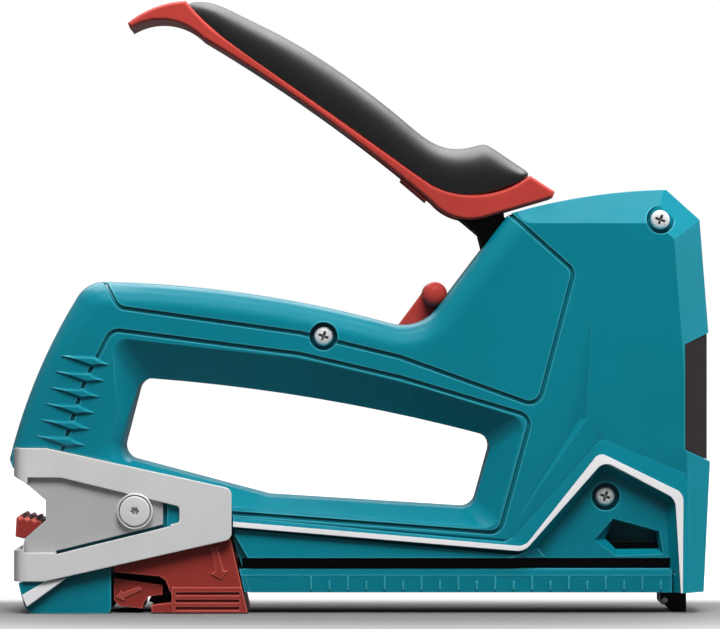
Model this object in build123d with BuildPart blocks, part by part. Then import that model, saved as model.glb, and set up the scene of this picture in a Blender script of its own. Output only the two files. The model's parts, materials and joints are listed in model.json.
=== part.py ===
from build123d import *
from math import atan2, cos, degrees, pi, radians, sin, tan
import os

os.makedirs("parts", exist_ok=True)

# A hand tacker, in millimetres. X runs to the nose, Z is up, and the housing splits at Y = 0.
# The origin is the centre of the nose's working face, in the plane that the nose and rear foot stand on.

# Housing
half_width = 17.0  # side face from the split plane
body_bottom = 5.7  # underside of the magazine walls
grip_round = 7.0  # rounding of the grip, the rear post and the hand opening
opening_corner = 4.0
facet_width = 7.5  # how far the head's bevels come in from the side face
groove_width = 1.1
groove_depth = 0.7
chamber_floor = 45.0
chamber_ceiling = 103.5
hollow_wall = 4.0  # side wall beside the hollow in the grip
running_gap = 0.4  # air between a moving piece and what it runs in
seat_gap = 0.1  # air round a piece that is laid into another
bearing_gap = 0.05  # air round a pin that something turns on

# Lower side panel, ruler and trim, each as a depth from the level before it
trim_depth = 1.2
panel_depth = 2.8
ruler_relief = 1.5
ruler_bevel = 1.0
shadow_depth = 1.6
stripe_height = 0.4
panel_slope = 2.2
ruler_height = 5.7
shadow_line = (12.2, 15.0)  # lower and upper edge of the long shadow groove
window_rim = 2.2  # depth of the sight window's sloping rim
window_depth = 12.0
crease_depth = 1.2

# Front badge
badge_span = (44.6, 73.0)
badge_slant = 0.45  # rise of the seat's ends over their run to the front
badge_start = 1.2
badge_depth = 1.3  # from the front bevel to the floor of its seat
badge_sheet = 0.7

# Lever and drive
lever_pivot = (-38.9, 76.9)
lever_closing = 28.0  # degrees from open to closed
pivot_radius = 2.5
pivot_seat = 2.4  # how far the pivot pin enters each side wall
bush_wall = 1.5
hub_radius = 6.5
arm_inner = 7.2  # inner face of the steel lever's cheeks
arm_sheet = 2.0
arm_web = 2.5
fork_width = 8.8
fork_tip = 3.2  # past the plunger pin
fork_pin_radius = 2.0
fork_clearance = 0.25
pin_back = 3.0  # plunger pin behind the driver blade
plunger_back = 8.2
plunger_half = 4.6
plunger_height = 16.0  # below the pin
flange_radius = 6.6
flange_sheet = 1.6
stem_radius = 3.6
stem_height = 5.0
spring_axis_x = -4.2
spring_mean_radius = 5.3
spring_wire = 1.8
spring_turns = 5
coil_facets = 10  # straight pieces in one turn of a spring
spring_seat_sheet = 2.0
blade_sheet = 1.0
blade_half = 5.6
blade_play = 0.2  # beside the blade's faces in the nose
blade_screw_radius = 1.2
blade_screw_height = 5.0  # above the plunger's underside
bumper_gap = 0.3

# Lever mouldings
hump_wall = 1.7
band_proud = 1.7  # side band beyond the hump
band_edge = 0.6  # bevel round the side band
grip_proud = 1.5  # grip beyond the side band
rivet_radius = 1.5
rivet_places = ((-80.0, 126.4), (-57.0, 112.6))

# Magazine
rail_half = 4.9
rail_sheet = 1.0
rail_bottom = 5.9
rail_top = 16.0
rail_front = -2.4
rail_rear = -137.5
staple_room = 1.1  # between the rail and the channel, for the staples' legs
channel_sheet = 1.0
channel_rise = 1.7  # room over the rail for the follower's crown
channel_bottom = 6.0
channel_rear = -116.0
nose_wall = 1.5
nose_front = 2.1
nose_back = -1.9
nose_top = 28.0
ear_top = 5.6
magazine_pivot = (-3.7, 3.2)
magazine_pin_radius = 0.8
lug_radius = 1.45
end_half = 15.0
cap_half = 12.6
rod_radius = 0.8
rod_height = 7.8
rod_rear = -150.0
plug_bottom = 9.2  # underside of the follower's fin and of the end block's plug
plug_front = -121.5
follower_front = -1.0
follower_length = 12.0
follower_play = 0.2
pusher_spring_radius = 2.4
pusher_spring_wire = 0.7
pusher_spring_turns = 12
block_proud = 0.5  # the end's lower block beyond its sides
rib_depth = 0.5
rib_height = 0.8
rib_heights = (1.4, 3.4, 5.4)

# Rear foot, staple remover and release lever
foot_step = 2.2
foot_wall = 1.8
foot_front = -154.6
foot_round = 1.5
foot_hollow_top = 10.2
remover_proud = 1.0  # beyond the housing's side faces
remover_sheet = 1.6
remover_rear = -181.0
remover_front = -121.8
remover_corner = 4.0
remover_round = 2.2  # front corners of its sides
opening_round = 1.0  # front corners of its window
remover_step = 1.4  # how far the inner panel is pressed in
panel_rim = 1.0
panel_slit = 0.9
release_pivot = (-163.0, 13.6)
release_hub = 2.4
release_half = 5.0
release_pin_radius = 1.2
pin_seat = 4.0  # how far the small pins enter each side wall

# Lever lock
lock_pivot = (-76.0, 74.0)
knob_centre = (-66.6, 86.7)
knob_radius = 3.4
knob_half = 9.5
knob_edge = 1.5
lock_hub = 3.2
lock_width = 6.0
lock_half = 3.0
lock_pin_radius = 1.2

# Screws
housing_screws = ((-5.5, 106.9), (-96.9, 75.3), (-20.2, 31.7))
screw_radius = 1.5
screw_head_radius = 2.6
screw_head_height = 1.8
screw_well_radius = 3.8
screw_well_depth = 3.6
screw_boss_wall = 1.2
screw_reach = 10.0  # into the right half
remover_screw = (-148.0, 27.9)
remover_screw_radius = 2.0
remover_screw_head = 4.3
remover_screw_height = 2.0
remover_screw_start = 6.0  # inner end, from the split plane
drive_depth = 1.1  # of the hexagon sockets

# Levels and places that follow from the sizes above
ledge_half = half_width - trim_depth
panel_half = ledge_half - panel_depth
ruler_half = panel_half + ruler_relief
ruler_top = body_bottom + ruler_height
shadow_half = panel_half - shadow_depth
facet_edge = half_width - facet_width
foot_half = half_width - foot_step
foot_inner = foot_half - foot_wall
remover_outer = half_width + remover_proud
remover_inner = remover_outer - remover_sheet
pressed_inner = remover_inner - remover_step
pressed_outer = pressed_inner + remover_sheet
arm_outer = arm_inner + arm_sheet
cavity_half = arm_outer + 2 * running_gap
hollow_half = arm_outer + running_gap
hump_half = hollow_half + hump_wall
shell_half = hump_half + band_proud
grip_half = shell_half + grip_proud
pin_x = -pin_back
pin_reach = pin_x - lever_pivot[0]
drive_stroke = 2 * pin_reach * tan(radians(lever_closing / 2))
pin_z = lever_pivot[1] - drive_stroke / 2
flange_top = pin_z + fork_pin_radius + running_gap + flange_sheet
plunger_bottom = pin_z - plunger_height
seat_bottom = chamber_ceiling - spring_seat_sheet
slot_half = blade_half + running_gap
nose_half = slot_half + nose_wall
channel_inner = rail_half + staple_room
channel_outer = channel_inner + channel_sheet
channel_top = rail_top + channel_rise + channel_sheet
screw_faces = (half_width, half_width, panel_half)  # level of the face round each housing screw
side = Plane.XZ


def outward_plane(a, b, c):
    """The plane through three points whose normal leans to the nose or up, away from the body."""
    normal = (Vector(*b) - Vector(*a)).cross(Vector(*c) - Vector(*a))
    lean = normal.X + normal.Z
    return Plane(origin=a, z_dir=normal if lean > 0 else normal * -1)


def across(radius, half_length, place):
    """A round bar along Y through a place on the side view."""
    with BuildPart() as bar:
        with BuildSketch(side.offset(-half_length)):
            with Locations(place):
                Circle(radius)
        extrude(amount=2 * half_length)
    return bar.part


def rounded_outline(corners, rounds, inset=0):
    """A closed outline, inset by an amount, with the corners after its first one rounded."""
    with BuildSketch() as face:
        Polygon(*corners, align=None)
        if inset:
            offset(amount=-inset, kind=Kind.INTERSECTION)
        for corner, radius in zip(corners[1:], rounds):
            fillet(face.vertices().sort_by_distance(corner)[0], radius)
    return face.sketch_local


def coil(radius, wire, turns, start, axis, length):
    """A spring of square wire, each turn made of straight mitred pieces, along a level or upright axis."""
    along = Vector(*axis)
    across_axis = Vector(0, 1, 0)
    upright = along.cross(across_axis)
    steps = turns * coil_facets
    bends = [
        Vector(*start)
        + along * (length * step / steps)
        + across_axis * (radius * cos(2 * pi * step / coil_facets))
        + upright * (radius * sin(2 * pi * step / coil_facets))
        for step in range(steps + 1)
    ]
    with BuildPart() as spring:
        with BuildLine():
            Polyline(*bends)
        with BuildSketch(Plane(bends[0], z_dir=bends[1] - bends[0])):
            Rectangle(wire, wire)
        sweep(transition=Transition.RIGHT)
    return spring.part


# Body outline, and the closed hand opening behind the head
with BuildSketch(side) as outline:
    with BuildLine():
        chin = Line((6.6, body_bottom), (8.4, 40.0))
        brow = Line(chin @ 1, (8.0, 76.4))
        forehead = Line(brow @ 1, (5.6, 107.0))
        crown_front = Line(forehead @ 1, (-3.5, 115.2))
        crown = ThreePointArc(crown_front @ 1, (-24.2, 113.5), (-46.6, 108.5))
        shoulder = Line(crown @ 1, (-65.9, 83.1))
        crook = TangentArc(shoulder @ 1, (-78.6, 78.8), tangent=shoulder % 1)
        grip_back = TangentArc(crook @ 1, (-156.5, 90.1), tangent=crook % 1)
        heel_corner = TangentArc(grip_back @ 1, (-164.0, 86.0), tangent=grip_back % 1)
        rear_post = TangentArc(heel_corner @ 1, (-182.4, 42.0), tangent=heel_corner % 1)
        Polyline(
            rear_post @ 1, (-181.3, 39.7), (-178.3, 37.4), (-170.5, 36.8), (-170.5, 17.2), (-178.4, 17.0),
            (-178.4, 8.6), (-179.6, 8.4), (-178.0, 1.8), (-176.4, 0), (foot_front, 0), (foot_front, 15.9),
            (-122.2, 23.2), (-117.0, body_bottom), chin @ 0,
        )
    make_face()
    fillet(outline.vertices().sort_by_distance((foot_front, 0, 0))[0], foot_round)

with BuildSketch(side) as hand_opening:
    with BuildLine():
        roof = ThreePointArc((-146.8, 64.0), (-100.0, 58.5), (-50.8, 47.8))
        Polyline(roof @ 1, (-56.3, 28.2), (-112.0, 31.7), (-152.4, 42.4), roof @ 0)
    make_face()
    fillet(hand_opening.vertices(), opening_corner)


def rounded_body(inset):
    """One half of the body as a block with rounded grip edges, everywhere inset by the same amount."""
    with BuildPart() as block:
        with BuildSketch(side):
            add(outline.sketch)
            add(hand_opening.sketch, mode=Mode.SUBTRACT)
            if inset:
                offset(amount=-inset)
        extrude(amount=half_width - inset)
        face_edges = block.edges().group_by(Axis.Y)[0]
        soft = [
            edge
            for edge in face_edges
            if edge.center().X < crown.position_at(1).X and edge.center().Z > 28
            and not (edge.center().X < -165 and edge.center().Z < 43)
        ]
        fillet(soft, grip_round - inset)
    return block.part


# Facets that bevel the head: along the top, down the front, down the chin, and across the corner
facets = (
    outward_plane((0, -half_width, 106.0), (-40.0, -half_width, 106.0), (0, -facet_edge, 115.8)),
    outward_plane((-1.8, -half_width, 102.1), (0.4, -half_width, 73.6), (7.1, -facet_edge, 88.0)),
    outward_plane((1.8, -half_width, 43.5), (1.7, -half_width, 6.1), (8.2, -facet_edge, 38.0)),
    outward_plane((-3.5, -facet_edge, 115.2), (5.6, -facet_edge, 107.0), (-2.4, -half_width, 102.2)),
)

# Mouth of the recessed lower panel, the outer edge of the trim stripe round it, and that of the wide bevel
mouth = ((-132.0, 24.6), (-42.5, 17.0), (-21.2, 41.2), (-1.7, 31.4), (0.0, 4.0), (-132.0, 4.0))
stripe_edge = ((-134.0, 26.2), (-42.4, 18.4), (-22.2, 43.9), (0.6, 32.8), (0.4, 4.0), (-134.0, 4.0))
bevel_edge = ((-134.0, 27.4), (-46.0, 20.2), (-22.0, 48.0), (2.4, 38.0), (2.2, 4.0), (-134.0, 4.0))
mouth_rounds = (3.6, 0.8, 0.8)
stripe_rounds = (2.4, 2.4, 2.4)
bevel_rounds = (1.2, 2.4, 2.4)

# Sight window, its opening behind the rim, and the crease that fades into the head at both ends
sight_window = ((-23.3, 19.8), (-18.2, 25.7), (-5.7, 22.3), (-4.5, 16.0), (-17.4, 15.6))
window_opening = ((-20.3, 20.3), (-18.0, 25.1), (-6.2, 21.9), (-5.6, 17.4), (-17.2, 17.2))
crease_line = ((-24.1, 81.8), (-25.5, 53.0), (-44.7, 25.4), (-38.0, 48.0))
crease_corner = (-27.3, 53.0)
foot_line = ((-161.0, 12.9), (-180.6, 0.7))
foot_stripe = ((-166.0, 9.8), (-180.6, 3.5), foot_line[1])

# Outline of the staple remover's side, of its pressed-in panel and of the small window beside it
remover_side = (
    (-172.0, 45.0), (remover_front, 34.0), (remover_front, 20.3), (-172.3, 8.9), (-182.0, 8.8),
    (-182.0, 17.0), (-178.4, 17.7), (-177.8, 20.5), (-172.2, 25.4), (-172.2, 30.9), (-177.8, 35.7),
    (-182.0, 38.0), (-182.0, 45.0),
)
pressed_panel = (
    (-177.0, 37.0), (-168.0, 37.0), (-140.4, 30.3), (-140.4, 23.8), (-169.3, 16.7), (-178.0, 16.7),
)
remover_window = ((-140.4, 30.3), (-135.9, 29.2), (-135.9, 24.9), (-140.4, 23.8))
slit_line = ((-138.4, 24.3), (-169.3, 16.7))


def remover_band(gap):
    """The bent strip round the rear, cut to the staple remover's side outline and grown by a gap."""
    with BuildPart() as band:
        with BuildSketch(Plane.XY):
            with Locations((0, 0)):
                RectangleRounded(-2 * (remover_rear - gap), 2 * (remover_outer + gap), remover_corner)
                RectangleRounded(
                    -2 * (remover_rear + remover_sheet + gap), 2 * (remover_inner - gap),
                    remover_corner - remover_sheet,
                    mode=Mode.SUBTRACT,
                )
        extrude(amount=60)
        with BuildSketch(side):
            add(rounded_outline(remover_side, (remover_round, remover_round), -gap))
        extrude(amount=40, both=True, mode=Mode.INTERSECT)
    return band.part


def pressed_sides(gap):
    """The two pressed-in side panels of the staple remover, grown by a gap."""
    with BuildPart() as plates:
        with BuildSketch(side.offset(pressed_inner - gap)):
            Polygon(*pressed_panel, align=None)
            offset(amount=panel_rim + gap, kind=Kind.INTERSECTION)
            Polygon(*remover_side, align=None, mode=Mode.INTERSECT)
        extrude(amount=remover_sheet + gap)
        mirror(about=side)
    return plates.part


# Paths of the two moulded shadow grooves
with BuildPart() as groove_cut:
    with BuildSketch(side):
        with BuildLine():
            FilletPolyline(
                (-157.5, 92.0), (-152.4, 83.1), (-103.3, 76.2), (-76.2, 69.7), (-38.7, 56.2), (-29.0, 93.0),
                (-47.5, 109.5),
                radius=3.5,
            )
        trace(line_width=groove_width)
        with BuildLine():
            FilletPolyline(
                (-168.5, 42.0), (-161.5, 63.4), (-154.3, 77.1), (-103.3, 70.5), (-76.2, 64.2), (-40.5, 53.5),
                (-49.2, 21.9), (-125.0, 27.6),
                radius=3.5,
            )
        trace(line_width=groove_width)
    extrude(amount=half_width + 1)
    add(rounded_body(groove_depth), mode=Mode.SUBTRACT)

# Shallow wedge that leaves the head's creased edge standing
with BuildSketch(side.offset(half_width)) as crease_rim:
    Polygon(*crease_line, align=None)
with BuildPart() as crease_cut:
    loft(sections=[crease_rim.sketch, Vertex(crease_corner[0], crease_depth - half_width, crease_corner[1])])

# One half of the housing, on the side that faces -Y
with BuildPart() as half_shell:
    add(rounded_body(0))
    for facet in facets:
        split(bisect_by=facet, keep=Keep.BOTTOM)
    add(groove_cut.part, mode=Mode.SUBTRACT)
    add(crease_cut.part, mode=Mode.SUBTRACT)

    # Wide bevel, the ledge that it leaves for the trim stripe, and the recessed panel
    with BuildSketch(side.offset(ledge_half)):
        add(rounded_outline(stripe_edge, stripe_rounds))
    with BuildSketch(side.offset(half_width)):
        add(rounded_outline(bevel_edge, bevel_rounds))
    loft(ruled=True, mode=Mode.SUBTRACT)
    with BuildSketch(side.offset(ledge_half)):
        add(rounded_outline(mouth, mouth_rounds))
    with BuildSketch(side.offset(panel_half)):
        add(rounded_outline(mouth, mouth_rounds, panel_slope))
    loft(ruled=True, mode=Mode.SUBTRACT)
    with BuildSketch(side.offset(panel_half)):
        with Locations(((mouth[0][0] + mouth[1][0]) / 2, body_bottom)):
            Rectangle(mouth[1][0] - mouth[0][0], 2 * panel_slope)
        with Locations((mouth[1][0] / 2, body_bottom)):
            Rectangle(-mouth[1][0] - 4, 2 * panel_slope)
    extrude(amount=half_width, mode=Mode.SUBTRACT)

    # Ruler strip, long shadow groove and sight window
    with BuildSketch(side.offset(panel_half)):
        Polygon(
            (-117.0, body_bottom), (-2.3, body_bottom), (-2.3, ruler_top), (-118.7, ruler_top), align=None
        )
    extrude(amount=ruler_half - panel_half)
    with BuildSketch(Plane.YZ):
        Polygon(
            (-ruler_half, ruler_top), (-ruler_half, ruler_top - ruler_bevel),
            (ruler_bevel - ruler_half, ruler_top),
            align=None,
        )
    extrude(amount=mouth[0][0], mode=Mode.SUBTRACT)
    with BuildSketch(side.offset(shadow_half)):
        with Locations(((-119.0 - 2.6) / 2, sum(shadow_line) / 2)):
            Rectangle(119.0 - 2.6, shadow_line[1] - shadow_line[0])
    extrude(amount=half_width, mode=Mode.SUBTRACT)
    with BuildSketch(side.offset(panel_half)):
        Polygon(*sight_window, align=None)
    with BuildSketch(side.offset(panel_half - window_rim)):
        Polygon(*window_opening, align=None)
    loft(ruled=True, mode=Mode.SUBTRACT)
    with BuildSketch(side.offset(panel_half - window_depth)):
        Polygon(*window_opening, align=None)
    extrude(amount=window_depth - window_rim, mode=Mode.SUBTRACT)

    # Rear foot: a step below the trim line, hollow and open to the rear between its walls
    with BuildSketch(side.offset(foot_half)):
        Polygon(foot_line[0], foot_line[1], (-184, -2), (-140, -2), (-140, foot_line[0][1]), align=None)
    extrude(amount=half_width, mode=Mode.SUBTRACT)
    with BuildSketch(side.offset(ledge_half)):
        Polygon(*foot_stripe, align=None)
    extrude(amount=half_width, mode=Mode.SUBTRACT)
    with BuildSketch(side):
        Polygon((-184, -2), (-150, -2), (-150, foot_hollow_top), (-184, foot_hollow_top), align=None)
    extrude(amount=foot_inner, mode=Mode.SUBTRACT)

    # Seat of the staple remover
    add(remover_band(seat_gap), mode=Mode.SUBTRACT)
    add(pressed_sides(seat_gap), mode=Mode.SUBTRACT)

    # Raised diamond ribs down the rear post
    with BuildSketch(side.offset(half_width - 0.05)):
        for step in range(6):
            left_tip = Vector(-168.6 - 1.32 * step, 70.2 - 4.36 * step)
            Polygon(
                left_tip, left_tip + Vector(9.4, -0.3), left_tip + Vector(14.0, -2.7),
                left_tip + Vector(8.8, -3.2),
                align=None,
            )
    extrude(amount=0.9, taper=35)

    # Chamber for the lever and drive, slot for the lever's neck, and the blade's passage
    with BuildSketch(side):
        Polygon(
            (3.6, chamber_floor), (4.2, 72.0), (2.6, chamber_ceiling), (-40.0, chamber_ceiling),
            (-47.5, 100.0), (-60.0, 82.6), (-49.0, 70.0), (-30.0, chamber_floor),
            align=None,
        )
    extrude(amount=cavity_half, mode=Mode.SUBTRACT)
    with BuildSketch(side):
        Polygon((-44.0, 98.0), (-44.0, 118.0), (-90.0, 118.0), (-68.4, 84.4), (-56.0, 79.6), align=None)
    extrude(amount=arm_outer + running_gap, mode=Mode.SUBTRACT)
    with BuildSketch(side):
        with Locations((0, (nose_top + chamber_floor) / 2)):
            Rectangle(blade_sheet + 2 * running_gap, chamber_floor - nose_top + 2)
    extrude(amount=blade_half + running_gap, mode=Mode.SUBTRACT)

    # Seats of the nose and of the magazine channel
    with BuildSketch(side):
        with Locations(((nose_front + nose_back) / 2, nose_top / 2)):
            Rectangle(nose_front - nose_back + 2 * seat_gap, nose_top + 2 * seat_gap)
    extrude(amount=nose_half + seat_gap, mode=Mode.SUBTRACT)
    with BuildSketch(side):
        with Locations((0, 0)):
            Rectangle(-rail_rear, channel_top + seat_gap, align=(Align.MAX, Align.MIN))
    extrude(amount=channel_outer + seat_gap, mode=Mode.SUBTRACT)

    # Pockets of the lever lock, its knob, the release lever and the magazine catch post
    with BuildSketch(side):
        Polygon(
            (-86.0, 96.0), (-60.0, 96.0), (-66.0, 80.0), (-71.5, 70.0), (-80.0, 69.4), (-83.0, 74.0),
            align=None,
        )
    extrude(amount=lock_half + running_gap, mode=Mode.SUBTRACT)
    with BuildSketch(side):
        with Locations(knob_centre):
            Circle(knob_radius + running_gap)
    extrude(amount=knob_half + 2 * running_gap, mode=Mode.SUBTRACT)
    with BuildSketch(side):
        Polygon(
            (-184, 17.6), (-174.0, 30.0), (-166.0, 30.0), (-158.0, 22.0), (-149.6, 22.0), (-149.6, 12.0),
            (-158.0, 9.0), (-167.0, 9.0),
            align=None,
        )
    extrude(amount=release_half + running_gap, mode=Mode.SUBTRACT)

    # Hollow of the grip and of the rear post, with the grip screw's boss
    with BuildSketch(side):
        Polygon(
            (-152.0, 85.4), (-120.0, 83.0), (-98.0, 79.2), (-90.0, 77.2), (-90.0, 62.4), (-120.0, 66.4),
            (-152.0, 70.0),
            align=None,
        )
        with Locations(housing_screws[1]):
            Circle(screw_well_radius + screw_boss_wall, mode=Mode.SUBTRACT)
    extrude(amount=half_width - hollow_wall, mode=Mode.SUBTRACT)

    # Blind holes for the pins and the remover's screws
    add(across(pivot_radius, cavity_half + pivot_seat, lever_pivot), mode=Mode.SUBTRACT)
    add(across(lock_pin_radius, lock_half + pin_seat, lock_pivot), mode=Mode.SUBTRACT)
    add(across(release_pin_radius, release_half + pin_seat, release_pivot), mode=Mode.SUBTRACT)
    add(across(remover_screw_radius, half_width, remover_screw), mode=Mode.SUBTRACT)

# Left and right halves of the housing, with a seat for the badge across the front
brow_front = 8.2
badge_height = badge_span[1] - badge_span[0]


def badge_block(inset, margin):
    """The front bevel's cross-section, set in by an amount, over more than the height of the badge."""
    with BuildPart() as block:
        with BuildSketch(Plane.XY.offset(badge_span[0] - badge_height)):
            Polygon(
                (badge_start - margin, half_width - inset), (badge_start - margin, inset - half_width),
                (brow_front - inset, inset - facet_edge), (brow_front - inset, facet_edge - inset),
                align=None,
            )
        extrude(amount=3 * badge_height)
    return block.part


def badge_window(gap):
    """The badge's place seen from the side, with slanting ends, grown by a gap, right across the head."""
    run = 2 * half_width
    low, high = badge_span[0] - gap, badge_span[1] + gap
    with BuildPart() as block:
        with BuildSketch(side):
            Polygon(
                (badge_start - gap, low), (badge_start + run, low - badge_slant * run),
                (badge_start + run, high + badge_slant * run), (badge_start - gap, high),
                align=None,
            )
        extrude(amount=2 * half_width, both=True)
    return block.part


with BuildPart() as badge_seat:
    add(badge_window(seat_gap))
    add(badge_block(badge_depth, 2 * badge_depth), mode=Mode.SUBTRACT)

with BuildPart() as left_housing:
    add(half_shell.part)
    add(badge_seat.part, mode=Mode.SUBTRACT)
    for place, level in zip(housing_screws, screw_faces):
        add(across(screw_radius, half_width, place), mode=Mode.SUBTRACT)
        with BuildSketch(side.offset(level - screw_well_depth)):
            with Locations(place):
                Circle(screw_well_radius)
        extrude(amount=screw_well_depth, mode=Mode.SUBTRACT)
left_housing.part.label = "left_housing"
export_step(left_housing.part, "parts/left_housing.step")

with BuildPart() as right_housing:
    add(half_shell.part)
    mirror(about=side, mode=Mode.REPLACE)
    add(badge_seat.part, mode=Mode.SUBTRACT)
    for place in housing_screws:
        add(across(screw_radius, screw_reach, place), mode=Mode.SUBTRACT)
right_housing.part.label = "right_housing"
export_step(right_housing.part, "parts/right_housing.step")

# Screws that clamp the halves, driven from the left
with BuildPart() as housing_screw_set:
    for place, level in zip(housing_screws, screw_faces):
        screw_seat = level - screw_well_depth
        with BuildSketch(side.offset(-screw_reach)):
            with Locations(place):
                Circle(screw_radius)
        extrude(amount=screw_reach + screw_seat)
        with BuildSketch(side.offset(screw_seat)):
            with Locations(place):
                Circle(screw_head_radius)
        extrude(amount=screw_head_height)
        with BuildSketch(side.offset(screw_seat + screw_head_height)):
            with Locations(place):
                RegularPolygon(screw_head_radius / 2, 6)
        extrude(amount=-drive_depth, mode=Mode.SUBTRACT)
housing_screw_set.part.label = "housing_screws"
export_step(housing_screw_set.part, "parts/housing_screws.step")

# Light trim stripes on both sides: round the lower panel, running out down the chin, and on the foot
with BuildPart() as trim_stripes:
    with BuildSketch(side.offset(ledge_half)):
        add(rounded_outline(stripe_edge, stripe_rounds, seat_gap))
        add(rounded_outline(mouth, mouth_rounds), mode=Mode.SUBTRACT)
        with Locations((mouth[0][0], body_bottom)):
            Rectangle(4 * half_width, half_width, align=(Align.CENTER, Align.MAX), mode=Mode.SUBTRACT)
            Rectangle(-4 * mouth[0][0], half_width, align=(Align.MIN, Align.MAX), mode=Mode.SUBTRACT)
        with Locations((remover_front + seat_gap, 0)):
            Rectangle(4 * half_width, 6 * half_width, align=(Align.MAX, Align.CENTER), mode=Mode.SUBTRACT)
    extrude(amount=stripe_height)
    with BuildSketch(side.offset(ledge_half)):
        Polygon(*foot_stripe, align=None)
        offset(amount=-seat_gap, kind=Kind.INTERSECTION)
        add(outline.sketch_local, mode=Mode.INTERSECT)
    extrude(amount=stripe_height)
    mirror(about=side)
trim_stripes.part.label = "trim_stripes"
export_step(trim_stripes.part, "parts/trim_stripes.step")

# Bare badge plate folded round the front
with BuildPart() as front_badge:
    add(badge_block(badge_depth - badge_sheet, 0))
    add(badge_window(0), mode=Mode.INTERSECT)
    add(badge_block(badge_depth, badge_depth), mode=Mode.SUBTRACT)
front_badge.part.label = "front_badge"
export_step(front_badge.part, "parts/front_badge.step")

# Staple remover: a bent steel strip with pressed-in side panels and a claw notch at the rear
with BuildPart() as staple_remover:
    add(remover_band(0))
    with BuildSketch(side):
        Polygon(*pressed_panel, align=None)
        add(rounded_outline(remover_window, (opening_round, opening_round)))
        with Locations(remover_screw):
            Circle(remover_screw_head + running_gap)
    extrude(amount=2 * half_width, both=True, mode=Mode.SUBTRACT)
    add(pressed_sides(0))
    with BuildSketch(side):
        add(rounded_outline(remover_window, (opening_round, opening_round)))
        with BuildLine():
            Line(*slit_line)
        trace(line_width=panel_slit)
        with Locations(remover_screw):
            Circle(remover_screw_radius + seat_gap)
    extrude(amount=2 * half_width, both=True, mode=Mode.SUBTRACT)
    with BuildSketch(Plane.YZ.offset(remover_rear - half_width)):
        Rectangle(2 * (foot_inner + seat_gap), 2 * (foot_hollow_top + seat_gap))
    extrude(amount=2 * half_width, mode=Mode.SUBTRACT)
staple_remover.part.label = "staple_remover"
export_step(staple_remover.part, "parts/staple_remover.step")

with BuildPart() as remover_screws:
    with BuildSketch(side.offset(remover_screw_start)):
        with Locations(remover_screw):
            Circle(remover_screw_radius)
    extrude(amount=pressed_outer - remover_screw_start)
    with BuildSketch(side.offset(pressed_outer)):
        with Locations(remover_screw):
            Circle(remover_screw_head)
    extrude(amount=remover_screw_height)
    chamfer(remover_screws.edges().group_by(Axis.Y)[0], remover_screw_height / 3)
    with BuildSketch(side.offset(pressed_outer + remover_screw_height)):
        with Locations(remover_screw):
            RegularPolygon(remover_screw_head / 2, 6)
    extrude(amount=-drive_depth, mode=Mode.SUBTRACT)
    mirror(about=side)
remover_screws.part.label = "remover_screws"
export_step(remover_screws.part, "parts/remover_screws.step")

# Steel lever: two cheeks joined by a web, with a fork for the plunger's cross pin
fork_angle = -lever_closing / 2
fork_reach = pin_reach / cos(radians(fork_angle))
arm_tail = ((-106.0, 144.4), (-84.0, 131.1))
with BuildPart() as lever_arm:
    with BuildSketch(side.offset(arm_inner)):
        Polygon(
            *arm_tail, (-72.0, 123.9), (-62.0, 118.0), (-52.5, 118.6), (-47.8, 109.0), (-46.4, 98.0),
            (-34.0, 81.0), (-45.2, 76.0), (-47.4, 82.0), (-53.1, 96.6), (-54.7, 102.9), (-59.1, 106.6),
            (-68.0, 113.2), (-87.0, 128.5), (-106.0, 141.8),
            align=None,
        )
        with Locations(Location((*lever_pivot, 0), (0, 0, fork_angle))):
            Circle(hub_radius)
            Rectangle(fork_reach + fork_tip, fork_width, align=(Align.MIN, Align.CENTER))
            Circle(pivot_radius + bearing_gap, mode=Mode.SUBTRACT)
            with Locations((fork_reach, 0)):
                SlotOverall(4 * fork_tip, 2 * (fork_pin_radius + fork_clearance), mode=Mode.SUBTRACT)
        with Locations(*rivet_places):
            Circle(rivet_radius, mode=Mode.SUBTRACT)
    extrude(amount=arm_sheet)
    mirror(about=side)
    with BuildSketch(side):
        Polygon(
            arm_tail[0], arm_tail[1], (arm_tail[1][0], arm_tail[1][1] - arm_web),
            (arm_tail[0][0], arm_tail[0][1] - arm_web),
            align=None,
        )
    extrude(amount=arm_inner, both=True)
lever_arm.part.label = "lever_arm"
export_step(lever_arm.part, "parts/lever_arm.step")

with BuildPart() as lever_pivot_pin:
    add(across(pivot_radius, cavity_half + pivot_seat, lever_pivot))
lever_pivot_pin.part.label = "lever_pivot_pin"
export_step(lever_pivot_pin.part, "parts/lever_pivot_pin.step")

with BuildPart() as lever_bush:
    add(across(pivot_radius + bearing_gap + bush_wall, arm_inner, lever_pivot))
    add(across(pivot_radius + bearing_gap, arm_inner, lever_pivot), mode=Mode.SUBTRACT)
lever_bush.part.label = "lever_bush"
export_step(lever_bush.part, "parts/lever_bush.step")

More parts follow.
